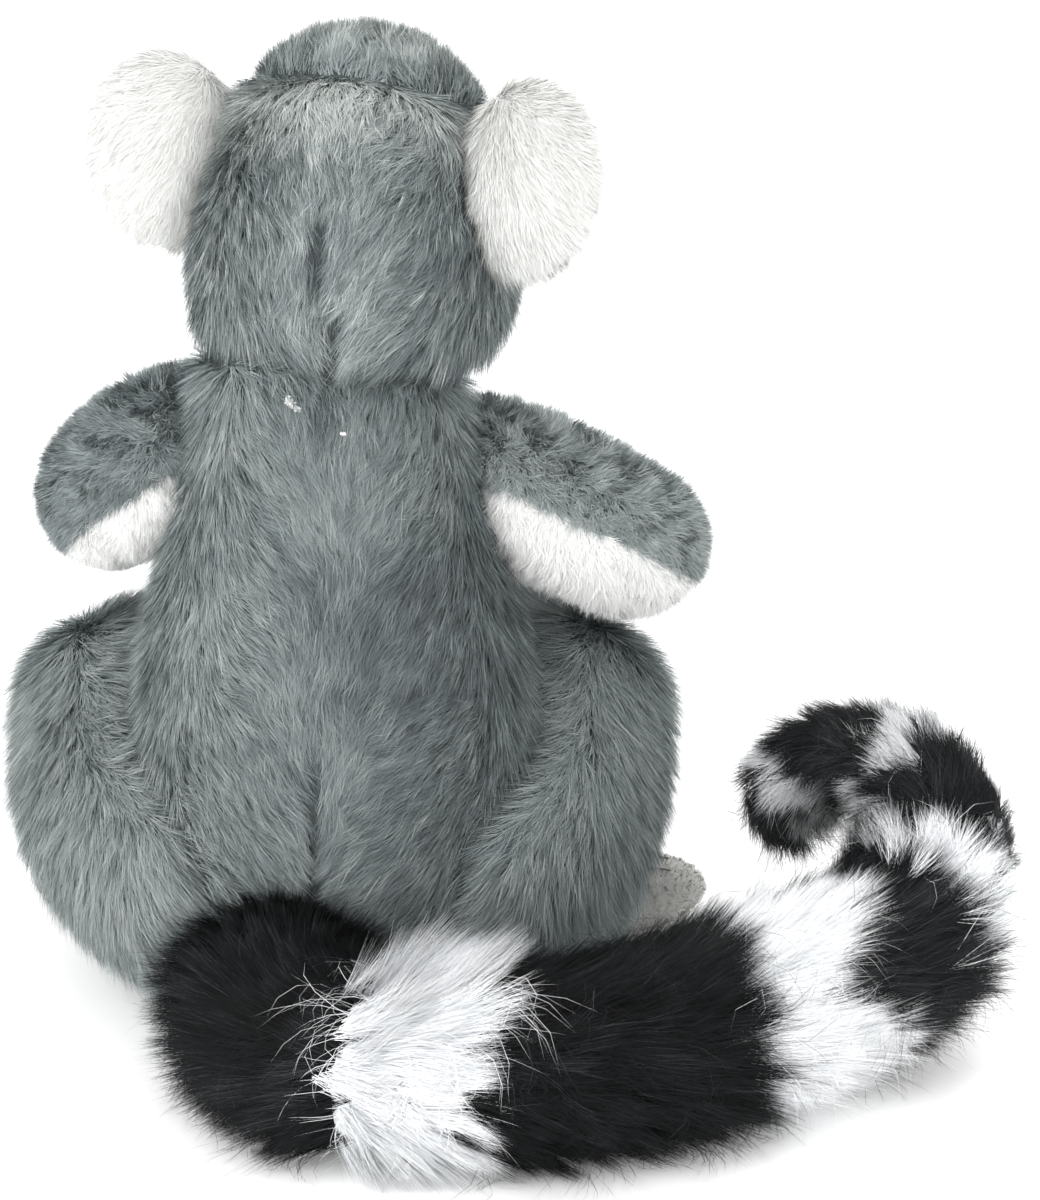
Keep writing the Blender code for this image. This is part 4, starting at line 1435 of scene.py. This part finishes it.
# The middle of the hollow that the end of the tail curls round
CURL_MIDDLE = (-0.148, 0.008, 0.055)
TAIL_STEPS = 24
# The stuffed core's radius as a share of the outline's
CORE_SHARE = 0.78
# Where the tail is this thick its pile has its full length, and elsewhere a share of it
FULL_RADIUS = 0.024
LEAST_SIZE = 0.66
MOST_SIZE = 1.10
# The tail's pile is looser from this far along it, its dark tones lighter from this ring on and
# its white mixed with grey from this one
LOOSE_FROM = 0.26
LIGHTER_FROM = 5
MIXED_FROM = 8
# The first white ring: its pile stands higher on top, and the long strands of its first part lean
# back over the ring before it and are shorter
PLUME_RING = 2
PLUME_PART = 0.3
PLUME_LEAN = -2.2
PLUME_LENGTH = 0.62
# How far past its ends a ring's strands may stand, where an edge is drawn back or ragged
EDGE_ROOM = 0.030
# The pile is kept short from the first to the second of these places on the outer side of the
# curl and at the back, so that the toy keeps its outline
CURL_SIDE = (0.172, 0.190)
BACK_SIDE = (0.116, 0.129)

# The middle line of the tail with its radii, and a frame carried along it
Tail = namedtuple("Tail", "along middles radii directions sides")
Ring = namedtuple("Ring", "node number start end edge band is_tip")
# One layer of a ring's pile: its name, strands on each square centimetre, strand length and width,
# segments, droop, curl, lock size, how much a lock's tips gather and how little it may lean
Layer = namedtuple("Layer", "name density length width segments droop curl lock gather least")


def tail_line():
    """The tail's middle line, finely divided, with a frame carried along it."""
    route = np.array(TAIL_ROUTE)
    padded = np.vstack([route[:1], route, route[-1:]])
    shares = np.arange(TAIL_STEPS)[:, None] / TAIL_STEPS
    found = []
    for i in range(len(route) - 1):
        a, b, c, d = padded[i:i + 4]
        found.append(0.5 * (2 * b + (c - a) * shares + (2 * a - 5 * b + 4 * c - d) * shares ** 2
                            + (3 * b - a - 3 * c + d) * shares ** 3))
    line = np.vstack(found + [route[-1:]])
    middles, radii = line[:, :3], line[:, 3]
    steps = np.linalg.norm(np.diff(middles, axis=0), axis=1)
    along = np.concatenate([[0.0], np.cumsum(steps)])
    directions = unit(np.gradient(middles, axis=0))
    side = np.array((1.0, 0.0, 0.0))
    sides = []
    for direction in directions:
        side = unit(side - direction * (side @ direction))
        sides.append(side)
    return Tail(along, middles, radii, directions, np.array(sides))


def tail_read(tail, field, distance):
    values = getattr(tail, field)
    if values.ndim == 1:
        return np.interp(distance, tail.along, values)
    return np.stack([np.interp(distance, tail.along, values[:, i]) for i in range(3)], axis=1)


def tail_ring(tail, distance, angle, share):
    """Points at these distances along the tail and angles round it, and the way out there."""
    direction = unit(tail_read(tail, "directions", distance))
    side = tail_read(tail, "sides", distance)
    side = unit(side - direction * (side * direction).sum(axis=1, keepdims=True))
    up = np.cross(direction, side)
    out = side * np.cos(angle)[:, None] + up * np.sin(angle)[:, None]
    radius = tail_read(tail, "radii", distance) * share
    return tail_read(tail, "middles", distance) + out * radius[:, None], out, direction


def tail_core(name, tail, start, end, is_tip):
    """The stuffed core of one ring of the tail, closed at both ends."""
    around = 32
    count = max(3, int((end - start) / 0.004))
    distance = np.linspace(start, end, count)
    angles = np.arange(around) * 2 * math.pi / around
    rings = []
    for place in distance:
        share = CORE_SHARE
        if is_tip:
            share *= math.sqrt(max(0.03, 1 - ((place - start) / (end - start)) ** 2))
        ring, _, _ = tail_ring(tail, np.full(around, place), angles, share)
        rings.append(ring)
    points = np.vstack(rings)
    points[:, 2] = np.maximum(points[:, 2], FLOOR_CLEARANCE)
    faces = [
        (i * around + j, i * around + (j + 1) % around,
         (i + 1) * around + (j + 1) % around, (i + 1) * around + j)
        for i in range(count - 1) for j in range(around)
    ]
    faces.append(tuple(reversed(range(around))))
    faces.append(tuple(range((count - 1) * around, count * around)))
    return mesh_object(name, points.tolist(), faces)


class LEMUR_OT_tail(bpy.types.Operator):
    """Grows the long pile of the tail, ring by ring"""
    bl_idname = "lemur.tail"
    bl_label = "Tail"

    def execute(self, context):
        settings = context.scene.lemur_tail
        tail = tail_line()
        scale = tail.along[-1] / sum(band[1] for band in TAIL_BANDS)
        grounds = {
            "black": backing("tail_black_backing", (0.005, 0.006, 0.006), (0.014, 0.015, 0.016)),
            "white": backing("tail_white_backing", (0.84, 0.86, 0.88), (0.90, 0.92, 0.94)),
        }
        start = 0.0
        edge = None
        for number, band in enumerate(TAIL_BANDS, 1):
            colour, length = band[:2]
            end = start + length * scale
            node = "tail_%s_%d" % (colour, (number + 1) // 2)
            rng = np.random.default_rng(100 + number)
            is_tip = number == len(TAIL_BANDS)
            core = tail_core(node + "_core", tail, start, end, is_tip)
            dress(core, "tail_" + colour, grounds[colour])
            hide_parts(node)
            ring = Ring(node, number, start, end, edge, band, is_tip)
            tail_pile(tail, ring, settings, rng)
            start = end
            edge = band[4:]
        return {"FINISHED"}


def ring_edge(place, out, direction, edge, outer, seed):
    """Where a ring ends at these ways out from the middle: drawn back on one side, and ragged."""
    if edge is None:
        return np.full(len(out), place)
    side, drawn, times = edge
    side = np.array(side)
    side = unit(side - direction * (direction @ side)[:, None])
    angle = np.arccos(np.clip((out * side).sum(axis=1), -1, 1))
    ragged = wave(outer, 0.012, seed) + 0.6 * wave(outer, 0.006, seed + 40)
    rough = RAGGED_EDGE * (1 + 0.7 * (place > LOOSE_FROM))
    return place - drawn * np.cos(angle * times) + rough * ragged


def lean_of(number, field):
    """The lean at the start (2) or the end (3) of a ring, or none past the ends of the tail."""
    return TAIL_BANDS[number - 1][field] if 1 <= number <= len(TAIL_BANDS) else 0.0


def shared_way(lean, other):
    """The way in which the pile of both rings lies at their edge, as 1 or -1, or 0 if it parts."""
    return math.copysign(1, lean) if lean * other > 0 else 0


def size_at(radius):
    """The share of its full length that the pile has where the tail is this thick."""
    return np.clip(radius / FULL_RADIUS, LEAST_SIZE, MOST_SIZE)


def tail_layers(ring, settings):
    """The dense pile of a ring, and the long strands that lie over it."""
    white = ring.band[0] == "white"
    if white and ring.start > LOOSE_FROM:
        more = 0.4
    else:
        more = 1.5 if ring.number in (1, 3) else 1.0
    return (
        Layer("_pile", settings.density * (1.25 if white else 0.9), settings.length, settings.width,
              1, 0.12, 0.0, 0.0026, 0.55, LEAST_LEAN),
        Layer("_long", settings.long_density * more, settings.long_length, settings.width * 0.55,
              4, 0.75, 2.0, 0.0030, 0.60, LEAST_LONG_LEAN),
    )


def ring_spots(tail, ring, density, reach, rng):
    """Where the strands of a ring stand, how far along it as a share, and how far along the tail.

    Their roots are set back from its edges by their reach, so that their tips end there.
    """
    low = max(0.0, ring.start - EDGE_ROOM)
    high = min(tail.along[-1], ring.end + EDGE_ROOM)
    area = 2 * math.pi * middle_radius(tail, ring) * CORE_SHARE * (high - low)
    count = int(area * density)
    distance = rng.uniform(low, high, count)
    angle = rng.uniform(0, 2 * math.pi, count)
    outer, out, along = tail_ring(tail, distance, angle, 1.0)
    first = ring_edge(ring.start, out, along, ring.edge, outer, 200 + ring.number - 1)
    last = ring_edge(ring.end, out, along, ring.band[4:], outer, 200 + ring.number)
    lean_start, lean_end = ring.band[2:4]
    first = first - reach * shared_way(lean_of(ring.number - 1, 3), lean_start)
    last = last - reach * shared_way(lean_end, lean_of(ring.number + 1, 2))
    roots, _, _ = tail_ring(tail, distance, angle, CORE_SHARE)
    keep = (distance >= first) & (distance <= last) & (roots[:, 2] > 0.001)
    if ring.number == 1:
        keep &= crowded_out(outer)
    share = np.clip((distance - first) / np.maximum(last - first, 0.001), 0, 1)
    return Spots(roots[keep], outer[keep], out[keep], {}), share[keep], distance[keep]


def middle_radius(tail, ring):
    return float(tail_read(tail, "radii", np.array([(ring.start + ring.end) / 2]))[0])


def closed_tip(tail, ring, spots, distance, direction):
    """The spots of the last ring, drawn in to a rounded end."""
    far = np.clip((distance - ring.start) / (ring.end - ring.start), 0, 1)
    closing = np.sqrt(np.maximum(0.03, 1 - far ** 2))
    middle = tail_read(tail, "middles", distance)
    roots = middle + (spots.roots - middle) * closing[:, None]
    out = unit(spots.normals * closing[:, None] + direction * far[:, None])
    return Spots(roots, spots.outer, out, {})


def strand_leans(ring, layer, share, rng):
    """How the strands lean along the tail: forwards above 0, backwards below, never upright."""
    lean_start, lean_end = ring.band[2:4]
    lean = lean_start + (lean_end - lean_start) * share + rng.normal(0, 0.15, len(share))
    if layer.curl and ring.number == PLUME_RING:
        lean = np.where(share < PLUME_PART, PLUME_LEAN, lean)
    return np.where(lean < 0, np.minimum(lean, -layer.least), np.maximum(lean, layer.least))


def strand_shares(tail, ring, layer, spots, share, distance, inside, upper):
    """The strands' lengths against the full one: shorter where they would leave the outline."""
    found = size_at(tail_read(tail, "radii", distance)) * (1 + 0.4 * inside)
    found = found * (1 - 0.55 * ramp(-spots.outer[:, 0], *CURL_SIDE))
    found = found * (1 - 0.32 * ramp(spots.outer[:, 1], *BACK_SIDE))
    if ring.number == 1:
        found = found * (1 - 0.35 * upper)
    if ring.number == PLUME_RING:
        found = found * (1 + 0.30 * upper)
        if layer.curl:
            found = found * np.where(share < PLUME_PART, PLUME_LENGTH, 1.0)
    return found


def tail_pile(tail, ring, settings, rng):
    """The dense pile of one ring of the tail, and the long strands that lie over it."""
    colour = ring.band[0]
    white = colour == "white"
    reach = 0.7 * settings.length * size_at(middle_radius(tail, ring))
    stray = 0.34 if ring.start > LOOSE_FROM else 0.17
    tone = "grey" if white and ring.number >= MIXED_FROM else colour
    materials = fibres("tail_%s_fibre" % tone, 0.5, 0.8, 0.0, 0.14)
    for layer in tail_layers(ring, settings):
        density = thinned(layer.density)
        spots, share, distance = ring_spots(tail, ring, density, reach, rng)
        direction = unit(tail_read(tail, "directions", distance))
        if ring.is_tip:
            spots = closed_tip(tail, ring, spots, distance, direction)
        lean = strand_leans(ring, layer, share, rng)
        heading = direction * np.sign(lean)[:, None]
        to_middle = np.array(CURL_MIDDLE) - spots.roots
        inside = ramp(np.linalg.norm(to_middle, axis=1), 0.036, 0.024)
        inside = inside * np.clip((unit(to_middle) * spots.normals).sum(axis=1), 0, 1)
        upper = ramp(spots.normals[:, 2], 0.3, 0.9)
        lift = np.arctan2(1.0, np.abs(lean)) + 0.45 * inside
        lift = lift + 0.20 * upper * (ring.number == PLUME_RING)
        lengthen = strand_shares(tail, ring, layer, spots, share, distance, inside, upper)
        kind = Pile(layer.length, 0, lift, lift * 0.5 if layer.curl else lift, stray * 0.8, stray,
                    layer.lock, layer.gather, layer.droop, layer.segments, layer.curl)
        grown = grow(spots, density, kind, heading, rng, lengthen)
        level = 0.60 if white else 0.34 + 0.16 * (ring.number >= LIGHTER_FROM)
        tones = tone_of(level, grown[2], rng)
        pile_pieces(ring.node + layer.name, grown, spots, tones, "tail_" + colour, materials,
                    strand_width(layer.width), rng, 0.98 if white else 0.85)


def crowded_out(points):
    """Which of these points are clear of the body, where the tail comes out of it."""
    clear = np.ones(len(points), dtype=bool)
    for node in ("torso", "leg_left", "leg_right"):
        clear &= distances(points, node) > 0.0005
    return clear


OPERATORS = (
    LEMUR_OT_stage, LEMUR_OT_torso, LEMUR_OT_head, LEMUR_OT_face, LEMUR_OT_ears, LEMUR_OT_arms,
    LEMUR_OT_legs, LEMUR_OT_hands_and_feet, LEMUR_OT_tail, LEMUR_OT_lint,
)
SETTINGS = {
    "lemur_stage": StageSettings,
    "lemur_colours": PileColours,
    "lemur_body": BodyPile,
    "lemur_short": ShortPile,
    "lemur_tail": TailPile,
}


class LEMUR_PT_panel(bpy.types.Panel):
    """Lists the steps that dress the lemur"""
    bl_idname = "LEMUR_PT_panel"
    bl_label = "Plush Lemur"
    bl_space_type = "VIEW_3D"
    bl_region_type = "UI"
    bl_category = "Plush Lemur"

    def draw(self, context):
        for step in OPERATORS:
            self.layout.operator(step.bl_idname)


def register():
    for name, settings in SETTINGS.items():
        bpy.utils.register_class(settings)
        setattr(bpy.types.Scene, name, bpy.props.PointerProperty(type=settings))
    for step in OPERATORS:
        bpy.utils.register_class(step)
    bpy.utils.register_class(LEMUR_PT_panel)


def unregister():
    bpy.utils.unregister_class(LEMUR_PT_panel)
    for step in reversed(OPERATORS):
        bpy.utils.unregister_class(step)
    for name, settings in SETTINGS.items():
        delattr(bpy.types.Scene, name)
        bpy.utils.unregister_class(settings)


def main():
    register()
    for step in OPERATORS:
        group, name = step.bl_idname.split(".")
        getattr(getattr(bpy.ops, group), name)()


if __name__ == "__main__":
    main()
